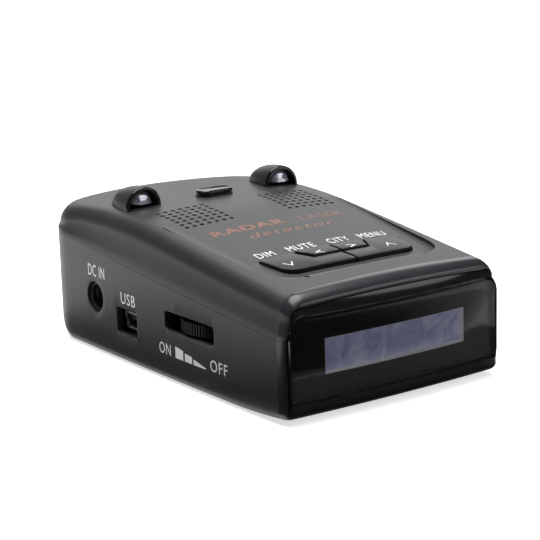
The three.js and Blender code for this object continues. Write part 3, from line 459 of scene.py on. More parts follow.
def panel_cutter():
    front = PANEL_FRONT
    right = quad_curve((0, front - 0.4), (12, front - 0.2), (17.5, front + 0.5), 10)
    right += quad_curve((17.5, front + 0.5), (23.3, front + 1.4), (23.6, front + 9), 12)[1:]
    right += [(lerp(23.6, 25.8, t), lerp(front + 9, PANEL_END + 3, t)) for t in (k / 24 for k in range(1, 25))]
    outline = right + [(x, PANEL_END + 3) for x in (17, 8.5, 0)]
    outline += [(-x, y) for x, y in outline[-2:0:-1]]
    shares = [k / 10 for k in range(11)]
    rings = [[(x * (1 - s), y, panel(x * (1 - s), y)) for x, y in outline] for s in shares[::-1]]
    rings += [[(x * (1 - s), y, top(x * (1 - s), y) + 3) for x, y in outline] for s in shares]
    return skin("panel_cutter", rings, ends=False)


KEY_BACK, KEY_MID, KEY_FRONT, KEY_SIDE, HALF_SLIT = 5.6, 0.9, -5.0, 19.3, 0.3


def key_outline(name):
    """Outline of a left-hand key; the right-hand ones are its mirror image."""
    if name == "dim":
        corner = arc(-KEY_SIDE + 4.6, KEY_FRONT + 4.2, 3.6, math.pi * 1.05, math.pi * 1.45, 8)
        return [(-HALF_SLIT, KEY_FRONT), (-HALF_SLIT, KEY_MID - 0.55), (-8.0, KEY_MID - 0.55),
                (-10.3, KEY_BACK), (-KEY_SIDE + 0.9, KEY_BACK), (-KEY_SIDE + 0.25, KEY_BACK - 0.25),
                (-KEY_SIDE, KEY_BACK - 0.9)] + corner
    return [(-HALF_SLIT, KEY_MID), (-HALF_SLIT, KEY_BACK), (-9.3, KEY_BACK), (-7.4, KEY_MID)]


def group_cutter():
    left = key_outline("dim")
    side = [p for p in left if p[0] < -10.4]
    outline = [(0, KEY_BACK)] + side + [(0, KEY_FRONT)]
    outline += [(-x, v) for x, v in outline[-2:0:-1]]
    return outline_prism("group_cutter", inset(outline, -0.28), -6, 4, on_panel)


def grille_cutter():
    rods = []
    for side in (-1, 1):
        for i in range(7):
            for j in range(7):
                x, y = side * (8.5 + 2.08 * i), 47.4 + 2.08 * j
                z = top(x, y)
                rods.append(lathe("rod", [(0.56, -4), (0.56, -0.1), (0.66, 0.02), (0.66, 2)], (x, y, z), sides=20))
    return joined("grille_cutter", rods)


def jack_cutter(y, z, radius):
    return lathe("jack_cutter", [(radius, -HALF - 3), (radius, -HALF + 4)], (0, y, z), "x", 56)


def side_window_cutter(y, z, long, high, radius, flare):
    rings = []
    for out, grow in ((3.0, flare), (0.02, flare), (-flare, 0.0), (-4.0, 0.0)):
        outline = stadium(long + 2 * grow, high + 2 * grow, 6, y, z, radius + grow)
        rings.append([on_side(a, b, out) for a, b in outline])
    return skin("side_cutter", rings)


def release_cutter():
    outline = stadium(10.0, 5.2, 14, 0, 67.2)
    return outline_prism("release_cutter", outline, 28, 42)


def bracket_cutter(name):
    return outline_prism(name, stadium(19.4, 4.3, 4, 0, 27.35, 0.5), 63.9, REAR + 3, lambda x, z, y: (x, y, z))


carve(casing_top, [panel_cutter(), group_cutter(), release_cutter(), bracket_cutter("slot_top"), grille_cutter()])
laser_cutter = block("laser_cutter", (5, 21), (REAR - 8, REAR + 3), (11, 22.5))
screw_cutter = joined("screw_cutter", [
    lathe("rod", [(2.7, -2), (2.7, 3.4)], (x, y, 0)) for x in (-24.4, 24.4) for y in (7.2, 87)])
label_cutter = block("label_cutter", (-18, 18), (43, 69), (-1, 0.7))
carve(casing_bottom, [
    jack_cutter(75, 13.7, 3.8), side_window_cutter(60.6, 10.25, 9.3, 6.1, 0.5, 0.25),
    side_window_cutter(33.7, 14.4, 19.7, 4.3, 0.9, 0.25), bracket_cutter("slot_bottom"),
    laser_cutter, screw_cutter, label_cutter])


def left_crisp(x, y, z):
    """The seam between the covers and the holes of the grilles keep their edges."""
    seam = abs(z - parting(y)) < 0.5
    grille = 7.4 < abs(x) < 22.2 and 46.2 < y < 61.2 and z > 30
    return seam or grille


for cover in (casing_top, casing_bottom):
    for _ in range(RIM_SLOT + 1):
        cover.data.materials.append(None)
rounded(casing_top, 0.17, skip=left_crisp)
rounded(casing_bottom, 0.16, skip=left_crisp)


# ---------------------------------------------------------------- more mesh helpers

def plate(name, outline, levels, place, cuts=(), sharp=32.0):
    """A plate over a flat outline: levels are (height, inset), place bends it, cuts are x where it may bend."""
    work = bmesh.new()
    rings = [[work.verts.new((x, y, up)) for x, y in inset(outline, away)] for up, away in levels]
    for low, high in zip(rings, rings[1:]):
        for i in range(len(low)):
            j = (i + 1) % len(low)
            work.faces.new((low[i], low[j], high[j], high[i]))
    work.faces.new(rings[0][::-1])
    work.faces.new(rings[-1])
    for x in cuts:
        everything = work.verts[:] + work.edges[:] + work.faces[:]
        bmesh.ops.bisect_plane(work, geom=everything, dist=1e-5, plane_co=(x, 0, 0), plane_no=(1, 0, 0))
    work.verts.index_update()
    verts = [place(*v.co) for v in work.verts]
    faces = [[v.index for v in face.verts] for face in work.faces]
    work.free()
    return make(name, verts, faces, sharp)


def printed(name, words, box, place, bold=0.0, lean_by=0.0):
    """Printed words filling box (x0, y0, x1, y1) of a surface, as a thin layer."""
    curve = bpy.data.curves.new(name, "FONT")
    curve.body = words
    curve.extrude = 0.01
    curve.offset = bold
    curve.shear = lean_by
    curve.resolution_u = 3
    curve.space_character = 1.12
    item = bpy.data.objects.new(name, curve)
    bpy.context.collection.objects.link(item)
    bpy.context.view_layer.update()
    mesh = bpy.data.meshes.new_from_object(item.evaluated_get(bpy.context.evaluated_depsgraph_get()))
    bpy.data.objects.remove(item, do_unlink=True)
    spots = [v.co.copy() for v in mesh.vertices]
    low_x, low_y = min(p.x for p in spots), min(p.y for p in spots)
    wide, high = max(p.x for p in spots) - low_x, max(p.y for p in spots) - low_y
    x0, y0, x1, y1 = box
    verts = [place(lerp(x0, x1, (p.x - low_x) / wide), lerp(y0, y1, (p.y - low_y) / high),
                   PRINT if p.z > 0 else -PRINT) for p in spots]
    faces = [list(face.vertices) for face in mesh.polygons]
    bpy.data.meshes.remove(mesh)
    return make(name, verts, faces)


PRINT = 0.025


def stroke(points, thick):
    """A closed outline round a bent line."""
    left, right = [], []
    for i, (x, y) in enumerate(points):
        (bx, by), (ax, ay) = points[max(0, i - 1)], points[min(len(points) - 1, i + 1)]
        size = math.hypot(ax - bx, ay - by)
        nx, ny = -(ay - by) / size, (ax - bx) / size
        wide = thick / 2
        if 0 < i < len(points) - 1:
            sx, sy = points[i][0] - bx, points[i][1] - by
            wide /= max(0.3, abs((-sy * nx + sx * ny) / math.hypot(sx, sy)))
        left.append((x + nx * wide, y + ny * wide))
        right.append((x - nx * wide, y - ny * wide))
    return right + left[::-1]


# ---------------------------------------------------------------- display end

def display_loop():
    """The casing's cross-section at the display end, all the way round, with its outward normals."""
    high, low = TOP_SECTION[2:], BOTTOM_SECTION[2:]
    flip = lambda items: [((-x, z), (-nx, nz)) for (x, z), (nx, nz) in items]
    return high + flip(high[-2::-1]) + flip(low) + low[-2::-1]


def onto_window(x, z, grow=0.0):
    """The point closest to (x, z) on the window's outline, grown by so much."""
    size = WINDOW
    radius = size["high_r"] if z > 14 else size["low_r"]
    cx = clamp(x, radius - size["half"], size["half"] - radius)
    cz = clamp(z, size["low"] + size["low_r"], size["high"] - size["high_r"])
    away = math.hypot(x - cx, z - cz) or 1.0
    reach = (radius + grow) / away
    return cx + (x - cx) * reach, cz + (z - cz) * reach


LOOP = display_loop()


def rim_ring(extra, back):
    out = []
    for (x, z), (nx, nz) in LOOP:
        curl = rim_inset(nx, nz) + extra
        out.append((x - nx * curl, rim_y(x - nx * curl) + back, z - nz * curl))
    return out


def window_ring(grow, back):
    out = []
    for (x, z), _ in LOOP:
        px, pz = onto_window(x, z, grow)
        out.append((px, face_y(px, back), pz))
    return out


def closed_ring(name, rings, sharp=32.0):
    return skin(name, rings + rings[:1], ends=False, sharp=sharp)


bezel_frame = closed_ring("bezel_frame", [
    rim_ring(0.14, 1.15), rim_ring(0.14, 0.35), rim_ring(0.22, 0.12), window_ring(0.3, 0.02),
    window_ring(0.2, -0.1), window_ring(0.1, -0.12), window_ring(0.03, -0.02), window_ring(0.03, 1.7)])


def window_height(x):
    """The window's lowest and highest point at x."""
    size, out = WINDOW, []
    for radius, edge, way in ((size["low_r"], size["low"], 1), (size["high_r"], size["high"], -1)):
        past = max(0.0, abs(x) - (size["half"] - radius))
        out.append(edge + way * (radius - math.sqrt(max(0.0, radius * radius - past * past))))
    return out


def window_columns():
    edge = WINDOW["half"] - 0.05
    inner = edge - WINDOW["high_r"]
    right = [inner * k / 14 for k in range(15)]
    right += [inner + WINDOW["high_r"] * math.sin(math.pi / 2 * k / 12) for k in range(1, 13)]
    return [-x for x in right[:0:-1]] + right


def window_pane():
    rings, edge = [], WINDOW["half"] - 0.05
    for x in window_columns():
        low, high = window_height(x)
        low, high = low + 0.04, high - 0.04
        near_end = max(0.0, 0.28 - (edge - abs(x)))
        ring = [(x, face_y(x, 1.15), low), (x, face_y(x, 0.28), low), (x, face_y(x, 0.09 + near_end), low + 0.09)]
        for k in range(9):
            ring.append((x, face_y(x, near_end), lerp(low + 0.28, high - 0.28, k / 8)))
        ring += [(x, face_y(x, 0.09 + near_end), high - 0.09), (x, face_y(x, 0.28), high), (x, face_y(x, 1.15), high)]
        rings.append(ring)
    return skin("window_pane", rings)


def rectangle(half, low, high, columns=24, rows=6):
    """A rectangle's outline with the same number of points on each side, whatever its size."""
    out = [(lerp(-half, half, k / columns), low) for k in range(columns)]
    out += [(half, lerp(low, high, k / rows)) for k in range(rows)]
    out += [(lerp(half, -half, k / columns), high) for k in range(columns)]
    return out + [(-half, lerp(high, low, k / rows)) for k in range(rows)]


def mask_ring(half, low, high, back):
    return [(x, face_y(x, back), z) for x, z in rectangle(half, low, high)]


def flat_ring(half, low, high, y):
    return [(x, y, z) for x, z in rectangle(half, low, high)]


pane = window_pane()
shade = (28.3, 5.0, 23.3)
MASK_BACK, FILM_GAP = 1.3, -0.65


def screen_grown(grow):
    return SCREEN["half"] + grow, SCREEN["low"] - grow, SCREEN["high"] + grow


screen_mask = closed_ring("screen_mask", [
    mask_ring(*shade, MASK_BACK + 0.5), mask_ring(*shade, MASK_BACK), mask_ring(*screen_grown(0.08), MASK_BACK),
    mask_ring(*screen_grown(0.08), MASK_BACK + 0.5)])
screen_collar = closed_ring("screen_collar", [
    flat_ring(*screen_grown(1.0), FILM_GAP), mask_ring(*screen_grown(0.9), MASK_BACK + 0.55),
    mask_ring(*screen_grown(0.05), MASK_BACK + 0.55), mask_ring(*screen_grown(0.05), MASK_BACK + 0.03),
    mask_ring(*screen_grown(0.0), MASK_BACK + 0.03), flat_ring(*screen_grown(0.0), FILM_GAP)])


def crumpled_film():
    """A protective film that lies on the screen with shallow wrinkles."""
    low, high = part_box("display_film")
    x0, x1, z0, z1 = low[0] * 1000, high[0] * 1000, low[2] * 1000, high[2] * 1000
    front, back = low[1] * 1000 - SHIFT, high[1] * 1000 - SHIFT
    folds = [(random.uniform(0, math.pi), random.uniform(0.25, 1.1), random.uniform(0, 6.3)) for _ in range(7)]
    across, up = 110, 28

    def crest(x, z):
        return sum(math.sin((x * math.cos(a) + z * math.sin(a)) * f + p) ** 3 for a, f, p in folds) / len(folds)

    verts, faces = [], []
    for j in range(up + 1):
        for i in range(across + 1):
            x, z = lerp(x0, x1, i / across), lerp(z0, z1, j / up)
            verts.append((x, front + 0.06 + 0.11 * crest(x, z), z))
    base = len(verts)
    for j in range(up + 1):
        for i in range(across + 1):
            verts.append((lerp(x0, x1, i / across), back, lerp(z0, z1, j / up)))
    wide = across + 1
    for j in range(up):
        for i in range(across):
            a = j * wide + i
            faces.append((a, a + 1, a + 1 + wide, a + wide))
            faces.append((base + a, base + a + wide, base + a + 1 + wide, base + a + 1))
    border = [i for i in range(across)] + [j * wide + across for j in range(up)]
    border += [up * wide + i for i in range(across, 0, -1)] + [j * wide for j in range(up, 0, -1)]
    for a, b in zip(border, border[1:] + border[:1]):
        faces.append((a, b, base + b, base + a))
    return make("film_sheet", verts, faces, 60)


film_sheet = crumpled_film()


# ---------------------------------------------------------------- keys and legends

KEY_UP, KEY_SINK, CENTRE_UP = 1.0, 0.058, 0.5
KEY_CUTS = [k * 1.3 for k in range(-15, 16)]


def key_place(x, v, up):
    """The tops of the keys sink towards their back edge."""
    sunk = 1 - KEY_SINK * (v - KEY_FRONT) if up > 0 else 1
    return on_panel(x, v, up * sunk - CROWN * x * x)


def key_cap(name, outline, proud):
    levels = [(-1.7, 0.0), (proud - 0.42, 0.0), (proud - 0.2, 0.05), (proud - 0.06, 0.16), (proud, 0.36)]
    return plate(name, outline, levels, key_place, KEY_CUTS)


def mirrored(outline):
    return [(-x, y) for x, y in outline][::-1]


def anticlockwise(outline):
    area = sum(a[0] * b[1] - b[0] * a[1] for a, b in zip(outline, outline[1:] + outline[:1]))
    return outline if area > 0 else outline[::-1]


key_shapes = {"dim": key_outline("dim"), "mute": key_outline("mute"),
              "city": mirrored(key_outline("mute")), "menu": mirrored(key_outline("dim"))}
key_caps = {word: key_cap(f"cap_{word}", anticlockwise(shape), KEY_UP + (CENTRE_UP if word in ("mute", "city") else 0.0))
            for word, shape in key_shapes.items()}

ARROWS = {"dim": [(-16.3, 0.7), (-15.1, -1.4), (-13.9, 0.7)], "mute": [(-4.3, 2.95), (-6.2, 2.05), (-4.3, 1.15)],
          "city": [(3.0, 2.95), (4.9, 2.05), (3.0, 1.15)], "menu": [(11.9, -1.3), (13.1, 0.8), (14.3, -1.3)]}
arrows = {}
for word, line in ARROWS.items():
    proud = KEY_UP + (CENTRE_UP if word in ("mute", "city") else 0.0)
    arrows[word] = plate(f"arrow_{word}", anticlockwise(stroke(line, 0.3)),
                         [(proud - 0.03, 0), (proud + PRINT, 0)], key_place)


def on_top(x, y, up):
    return (x, y, panel(x, y) + up)


def on_wall(u, z, out):
    """The socket side read from outside: u runs towards the display end."""
    return on_side(-u, z, out)


LEGEND_Y = (22.95, 25.65)
panel_words = [printed(f"legend_{word}", word.upper(), (x0, LEGEND_Y[0], x1, LEGEND_Y[1]), on_top)
               for word, x0, x1 in (("dim", -17.9, -13.2), ("mute", -9.4, -2.0), ("city", 2.0, 7.9),
                                    ("menu", 11.0, 18.6))]
name_words = [printed("words_radar", "RADAR", (-19.0, 38.7, 1.6, 41.9), on_top, 0.035)]
kind_words = [printed("words_laser", "LASER", (6.0, 38.9, 18.2, 41.4), on_top, 0.0),
              printed("words_detector", "detector", (-12.2, 33.7, 12.3, 36.6), on_top, 0.0, 0.35)]
side_words = [printed(f"legend_{name}", words, (-y0, z0, -y1, z1), on_wall)
              for name, words, y0, z0, y1, z1 in (
                  ("dc_in", "DC IN", 77.8, 18.85, 70.0, 21.75), ("usb", "USB", 62.6, 14.6, 56.2, 17.4),
                  ("on", "ON", 46.1, 6.25, 41.3, 8.95), ("off", "OFF", 25.3, 6.4, 18.7, 9.1))]


def wedge_plate(name, y0, y1, tall0, tall1):
    outline = [(-y0, 6.3), (-y1, 6.3), (-y1, 6.3 + tall1), (-y0, 6.3 + tall0)]
    return plate(name, outline, [(-PRINT, 0), (PRINT, 0)], on_wall, [-(y0 + (y1 - y0) * k / 4) for k in (1, 2, 3)])


wedges = [wedge_plate("wedge_1", 39.35, 36.15, 2.75, 2.25), wedge_plate("wedge_2", 35.45, 32.55, 1.9, 1.6),
          wedge_plate("wedge_3", 31.9, 27.1, 1.25, 0.25)]


# ---------------------------------------------------------------- alert domes and release button

DOME = dict(x=20.4, y=67.0, wide=4.8, high=5.1, long=12.6)


def arch(cx, y, wide, high, base, steps=22):
    """An arch across x, standing on the roof, closed along its foot."""
    out = []
    for k in range(steps + 1):
        turn = math.pi * k / steps
        x = cx + wide * math.cos(turn)
        rise = high * math.sin(turn) ** 0.9
        out.append((x, y, top(x, y) + base + max(rise, 0.0)))
    for k in range(1, 8):
        x = lerp(cx - wide, cx + wide, k / 8)
        out.append((x, y, top(x, y) + base - 0.02))
    return out


def dome_hood(side):
    cx, y0, wide, high, long = side * DOME["x"], DOME["y"] + 0.55, DOME["wide"], DOME["high"], DOME["long"]
    rings = []
    for k in range(15):
        t = math.cos(math.pi / 2 * k / 14)
        size = math.sqrt(max(0.0004, 1 - t * t))
        rings.append(arch(cx, y0 + (long - 0.55) * t, wide * size, high * size ** 1.1 + 0.3, -0.3))
    rings.append(arch(cx, y0, wide - 0.75, high - 0.75, 0.1))
    rings.append(arch(cx, y0 + 5.6, wide - 1.5, high - 1.7, 0.1))
    return skin(f"hood_{side_name(side)}", rings, sharp=40)


def side_name(side):
    return "left" if side < 0 else "right"


def dome_ring(side):
    """The rounded rim in the mouth of a hood."""
    cx, y0, wide, high = side * DOME["x"], DOME["y"], DOME["wide"], DOME["high"]
    section = [(-0.95, 0.62), (-0.95, 0.12), (-0.78, -0.12), (-0.5, -0.22), (-0.1, -0.16), (0.08, 0.08), (0.08, 0.5)]
    rings = [arch(cx, y0 + along, wide + out, high + out, -0.12 if out > -0.9 else 0.15) for out, along in section]
    return closed_ring(f"ring_{side_name(side)}", rings, 50)


def alert_crystal(side):
    """A faceted lens that fills the mouth of a hood."""
    cx, y0 = side * DOME["x"], DOME["y"] + 0.7
    rings = []
    for size, forward, turn in ((1.0, 2.6, 0.0), (0.93, 1.15, 0.5), (0.66, 0.2, 0.0), (0.3, -0.3, 0.5)):
        ring = []
        for k in range(9):
            angle = math.pi * clamp((k + (turn if 0 < k < 8 else 0)) / 8.3, 0.0, 1.0)
            x = cx + 3.75 * size * math.cos(angle)
            ring.append((x, y0 + forward, top(cx, y0) + 0.75 + 3.45 * size * math.sin(angle) ** 0.85))
        for share in (0.75, 0.5, 0.25):
            x = cx - 3.75 * size * (2 * share - 1) * -1
            ring.append((cx + 3.75 * size * (1 - 2 * share), y0 + forward, top(cx, y0) + 0.75))
        rings.append(ring)
    return skin(f"crystal_{side_name(side)}", rings, sharp=2)


sides = (-1, 1)
hoods = {side: dome_hood(side) for side in sides}
rims = {side: dome_ring(side) for side in sides}
crystals = {side: alert_crystal(side) for side in sides}

BUTTON = dict(y=67.2, wide=9.5, deep=4.7, top=37.5)
release_cap = plate("release_cap", stadium(BUTTON["wide"], BUTTON["deep"], 10, 0, BUTTON["y"], 2.1),
                    [(34.7, 0), (BUTTON["top"] - 0.34, 0), (BUTTON["top"] - 0.16, 0.08), (BUTTON["top"] - 0.04, 0.24),
                     (BUTTON["top"], 0.4)], lambda x, y, z: (x, y, z))


# ---------------------------------------------------------------- thumbwheel and sockets

WHEEL = dict(x=-20.2, y=33.7, r=10.4, low=12.7, high=16.1, ribs=82)


def wheel_outline():
    out = []
    for k in range(WHEEL["ribs"]):
        for part, radius in ((0.0, 9.98), (0.22, 9.98), (0.42, 10.38), (0.8, 10.38)):
            turn = 2 * math.pi * (k + part) / WHEEL["ribs"]
            out.append((radius * math.cos(turn), radius * math.sin(turn)))
    return out


wheel_rim = plate("wheel_rim", wheel_outline(), [
    (WHEEL["low"], 1.0), (WHEEL["low"], 0.45), (WHEEL["low"] + 0.35, 0.02), (WHEEL["high"] - 0.35, 0.02),
    (WHEEL["high"], 0.45), (WHEEL["high"], 1.9), (WHEEL["high"] - 0.9, 2.2)],
    lambda x, y, z: (x + WHEEL["x"], y + WHEEL["y"], z))

DC = dict(y=75.0, z=13.7)
USB = dict(y=60.6, z=10.25)
jack_sleeve = lathe("jack_sleeve", [
    (3.62, -18.0), (3.62, -29.35), (3.5, -29.55), (3.1, -29.55), (2.95, -29.4), (2.95, -28.3), (2.72, -28.1),
    (2.72, -18.6)], (0, DC["y"], DC["z"]), "x", 64)
jack_pin = lathe("jack_pin", [(0.95, -18.7), (0.95, -25.2), (0.8, -25.6), (0.45, -25.8)],
                 (0, DC["y"], DC["z"]), "x", 32)
jack_spring = block("jack_spring", (-26.5, -19.5), (DC["y"] - 0.6, DC["y"] + 0.6), (DC["z"] - 2.68, DC["z"] - 2.35))


def mini_outline(shrink):
    """The mouth of a mini receptacle: full width above, stepped in below."""
    half, upper = 3.85 - shrink, 1.98 - shrink
    right = [(half - 0.25, upper), (half, upper - 0.25), (half, 0.15 + shrink / 2), (half - 0.15, -0.12 + shrink / 2),
             (half - 0.62, -0.5 + shrink / 2), (half - 0.72, -0.75), (half - 0.72, -upper + 0.25),
             (half - 0.95, -upper)]
    return right + [(-x, z) for x, z in right[::-1]]


def mini_ring(shrink, x):
    return [(x, USB["y"] + y, USB["z"] + z) for y, z in mini_outline(shrink)]


usb_collar = closed_ring("usb_collar", [
    mini_ring(0.0, -21.0), mini_ring(0.0, -28.42), mini_ring(0.06, -28.5), mini_ring(0.3, -28.5),
    mini_ring(0.36, -28.4), mini_ring(0.36, -21.0)])
usb_liner = closed_ring("usb_liner", [
    mini_ring(0.4, -21.0), mini_ring(0.4, -28.2), mini_ring(0.75, -28.2), mini_ring(0.75, -21.0)])
usb_back = outline_prism("usb_back", [(USB["y"] + y, USB["z"] + z) for y, z in mini_outline(0.4)], -22.5, -21.2,
                         lambda y, z, x: (x, y, z))
usb_tongue = block("usb_blade", (-27.6, -22.4), (USB["y"] - 2.6, USB["y"] + 2.6), (USB["z"] + 0.0, USB["z"] + 0.75))
usb_contacts = joined("usb_contacts", [
    block("contact", (-27.3, -22.6), (USB["y"] + k * 0.8 - 0.16, USB["y"] + k * 0.8 + 0.16),
          (USB["z"] - 0.12, USB["z"] + 0.05)) for k in (-2, -1, 0, 1, 2)])


# ---------------------------------------------------------------- underside

SCREWS = [(-24.4, 7.2), (24.4, 7.2), (-24.4, 87.0), (24.4, 87.0)]


def screw_head(number, x, y):
    head = lathe(f"screw_head_{number}", [
        (2.35, 3.05), (2.35, 1.9), (2.2, 1.55), (1.7, 1.3), (0.9, 1.2)], (x, y, 0), sides=40)
    turn = 0.35 * number
    blades = []
    for quarter in (0.0, math.pi / 2):
        c, s = math.cos(turn + quarter), math.sin(turn + quarter)
        corners = [(-1.35, -0.26), (1.35, -0.26), (1.35, 0.26), (-1.35, 0.26)]
        rings = [[(x + (u * c - v * s) * k, y + (u * s + v * c) * k, z) for u, v in corners]
                 for z, k in ((0.6, 1.1), (2.3, 0.55))]
        blades.append(skin("blade", rings))
    carve(head, blades)
    rounded(head, 0.07, 40)
    return head


screws = [screw_head(k + 1, x, y) for k, (x, y) in enumerate(SCREWS)]
label_plate = plate("label_plate", stadium(35.6, 25.6, 8, 0, 56, 1.5), [(0.62, 0.0), (0.42, 0.0), (0.38, 0.06)],
                    lambda x, y, z: (x, y, z))
label_lines = joined("label_lines", [
    closed_ring("line", [[(x, y, z) for x, y in stadium(w, d, 6, 0, 56, 1.0)] for w, d, z in (
        (33.0, 23.0, 0.4), (33.0, 23.0, 0.355), (32.2, 22.2, 0.355), (32.2, 22.2, 0.4))])] + [
    block("bar", (-13.5, 13.5 - 5 * (k % 2)), (49.0 + 3.4 * k - 0.16, 49.0 + 3.4 * k + 0.16), (0.355, 0.4))
    for k in range(5)])


# ---------------------------------------------------------------- materials

def shader(name):
    material = bpy.data.materials.new(name)
    material.use_nodes = True
    tree = material.node_tree
    return material, tree, tree.nodes["Principled BSDF"]


def moulded(name, dark, light, rough, grain=0.0, size=6000.0, mottle=160.0, spread=0.06, metal=0.0, coat=0.0,
            ior=1.5, alpha=1.0, stretch=(1, 1, 1), sheen=0.0):
    """A finish with fine grain, slight mottling of its colour and uneven roughness."""
    material, tree, surface = shader(name)
    link, node = tree.links.new, tree.nodes.new
    place = node("ShaderNodeTexCoord")
    scale = node("ShaderNodeMapping")
    scale.inputs["Scale"].default_value = stretch
    link(place.outputs["Object"], scale.inputs["Vector"])
    cloud = node("ShaderNodeTexNoise")
    cloud.inputs["Scale"].default_value = mottle
    cloud.inputs["Detail"].default_value = 5.0
    link(scale.outputs["Vector"], cloud.inputs["Vector"])
    fine = node("ShaderNodeTexNoise")
    fine.inputs["Scale"].default_value = size
    fine.inputs["Detail"].default_value = 2.0
    link(scale.outputs["Vector"], fine.inputs["Vector"])
    ramp = node("ShaderNodeValToRGB")
    ramp.color_ramp.elements[0].position = 0.3
    ramp.color_ramp.elements[1].position = 0.7
    ramp.color_ramp.elements[0].color = (*dark, 1)
    ramp.color_ramp.elements[1].color = (*light, 1)
    link(cloud.outputs["Fac"], ramp.inputs["Fac"])
    link(ramp.outputs["Color"], surface.inputs["Base Color"])
    vary = node("ShaderNodeMapRange")
    vary.inputs["From Min"].default_value = 0.25
    vary.inputs["From Max"].default_value = 0.75
    vary.inputs["To Min"].default_value = rough - spread
    vary.inputs["To Max"].default_value = rough + spread
    link(fine.outputs["Fac"], vary.inputs["Value"])
    link(vary.outputs["Result"], surface.inputs["Roughness"])
    if grain:
        bump = node("ShaderNodeBump")
        bump.inputs["Strength"].default_value = 1.0
        bump.inputs["Distance"].default_value = grain
        link(fine.outputs["Fac"], bump.inputs["Height"])
        link(bump.outputs["Normal"], surface.inputs["Normal"])
    surface.inputs["Metallic"].default_value = metal
    surface.inputs["Coat Weight"].default_value = coat
    surface.inputs["IOR"].default_value = ior
    surface.inputs["Alpha"].default_value = alpha
    surface.inputs["Sheen Weight"].default_value = sheen
    return material


def grey(value, tint=0.0):
    return (value, value, value * (1 + tint))


soft_black = moulded("soft_black_finish", (0.036, 0.036, 0.039), (0.042, 0.0415, 0.045), 0.44, 6e-6, 5200, 90, 0.05)
# painted highlight: a paler black on the rounded edge faces stands in for the light the edges catch
edge_highlight_black = moulded("painted_edge_highlight_finish", (0.075, 0.075, 0.080), (0.11, 0.11, 0.115), 0.34, 4e-6, 4000, 300, 0.05)
rim_black = moulded("rim_black_finish", (0.034, 0.034, 0.040), (0.042, 0.042, 0.048), 0.25, 2e-6, 2500, 60, 0.03)
gloss_black = moulded("gloss_black_finish", grey(0.010, 0.15), grey(0.014, 0.15), 0.13, 1.5e-6, 900, 60, 0.03)
key_black = moulded("key_black_finish", grey(0.015, 0.1), grey(0.019, 0.1), 0.36, 2e-6, 3500, 60, 0.04, ior=1.36)
inner_black = moulded("inner_black_finish", grey(0.016), grey(0.022), 0.55, 8e-6, 4000, 120, 0.06)
component_black = moulded("epoxy_finish", grey(0.018), grey(0.026), 0.5, 5e-6, 3000, 200, 0.08)
smoked = moulded("smoked_acrylic", grey(0.002), grey(0.003), 0.05, 0.0, 400, 30, 0.006, ior=1.6, alpha=0.32)
clear = moulded("clear_acrylic", (0.55, 0.57, 0.62), (0.62, 0.64, 0.68), 0.08, 0.0, 500, 40, 0.02, alpha=0.3)
crystal = moulded("crystal_finish", (0.46, 0.46, 0.55), (0.72, 0.72, 0.82), 0.12, 0.0, 500, 700, 0.04, metal=0.45)
tin = moulded("tin_finish", (0.55, 0.55, 0.56), (0.68, 0.68, 0.69), 0.28, 3e-6, 4000, 300, 0.07, metal=1.0)
brass = moulded("contact_finish", (0.62, 0.47, 0.2), (0.75, 0.58, 0.28), 0.25, 2e-6, 3000, 300, 0.06, metal=1.0)
cast = moulded("cast_finish", (0.50, 0.51, 0.52), (0.60, 0.61, 0.62), 0.42, 2e-5, 1500, 200, 0.08, metal=1.0)
steel = moulded("steel_finish", (0.34, 0.34, 0.35), (0.46, 0.46, 0.47), 0.33, 4e-6, 2500, 250, 0.08, metal=1.0)
ceramic = moulded("ceramic_finish", (0.50, 0.42, 0.30), (0.58, 0.49, 0.36), 0.6, 1e-5, 2500, 220, 0.06)
paper = moulded("paper_finish", (0.040, 0.036, 0.031), (0.07, 0.063, 0.055), 0.85, 4e-5, 1800, 260, 0.05)
label_film = moulded("label_finish", (0.42, 0.42, 0.41), (0.50, 0.50, 0.48), 0.42, 3e-6, 2200, 90, 0.05)
red_filter = moulded("red_filter_finish", (0.030, 0.002, 0.003), (0.045, 0.003, 0.004), 0.08, 0.0, 600, 50, 0.02,
                     coat=0.3, alpha=0.9)
glowing_white_print = moulded("glowing_white_print", grey(0.78, 0.02), grey(0.90, 0.02), 0.5, 4e-6, 2500, 900, 0.08)
# painted glow: the white print emits light of its own, though it is no lamp
glowing_white_print.node_tree.nodes["Principled BSDF"].inputs["Emission Color"].default_value = (1, 1, 1, 1)
glowing_white_print.node_tree.nodes["Principled BSDF"].inputs["Emission Strength"].default_value = 0.22
copper_print = moulded("copper_print", (0.20, 0.085, 0.055), (0.30, 0.13, 0.085), 0.42, 3e-6, 2500, 700, 0.06,
                       metal=0.25)
dim_print = moulded("dim_copper_print", (0.22, 0.10, 0.066), (0.32, 0.145, 0.10), 0.42, 3e-6, 2500, 700, 0.06,
                    metal=0.25)
mask_black = moulded("mask_finish", grey(0.004), grey(0.006), 0.45, 1e-6, 2500, 120, 0.04)
glowing_collar_grey = moulded("glowing_collar_finish", grey(0.42, 0.04), grey(0.52, 0.04), 0.55, 6e-6, 2500, 200, 0.06)
line_print = moulded("line_print", grey(0.05), grey(0.08), 0.5, 2e-6, 2500, 400, 0.06)


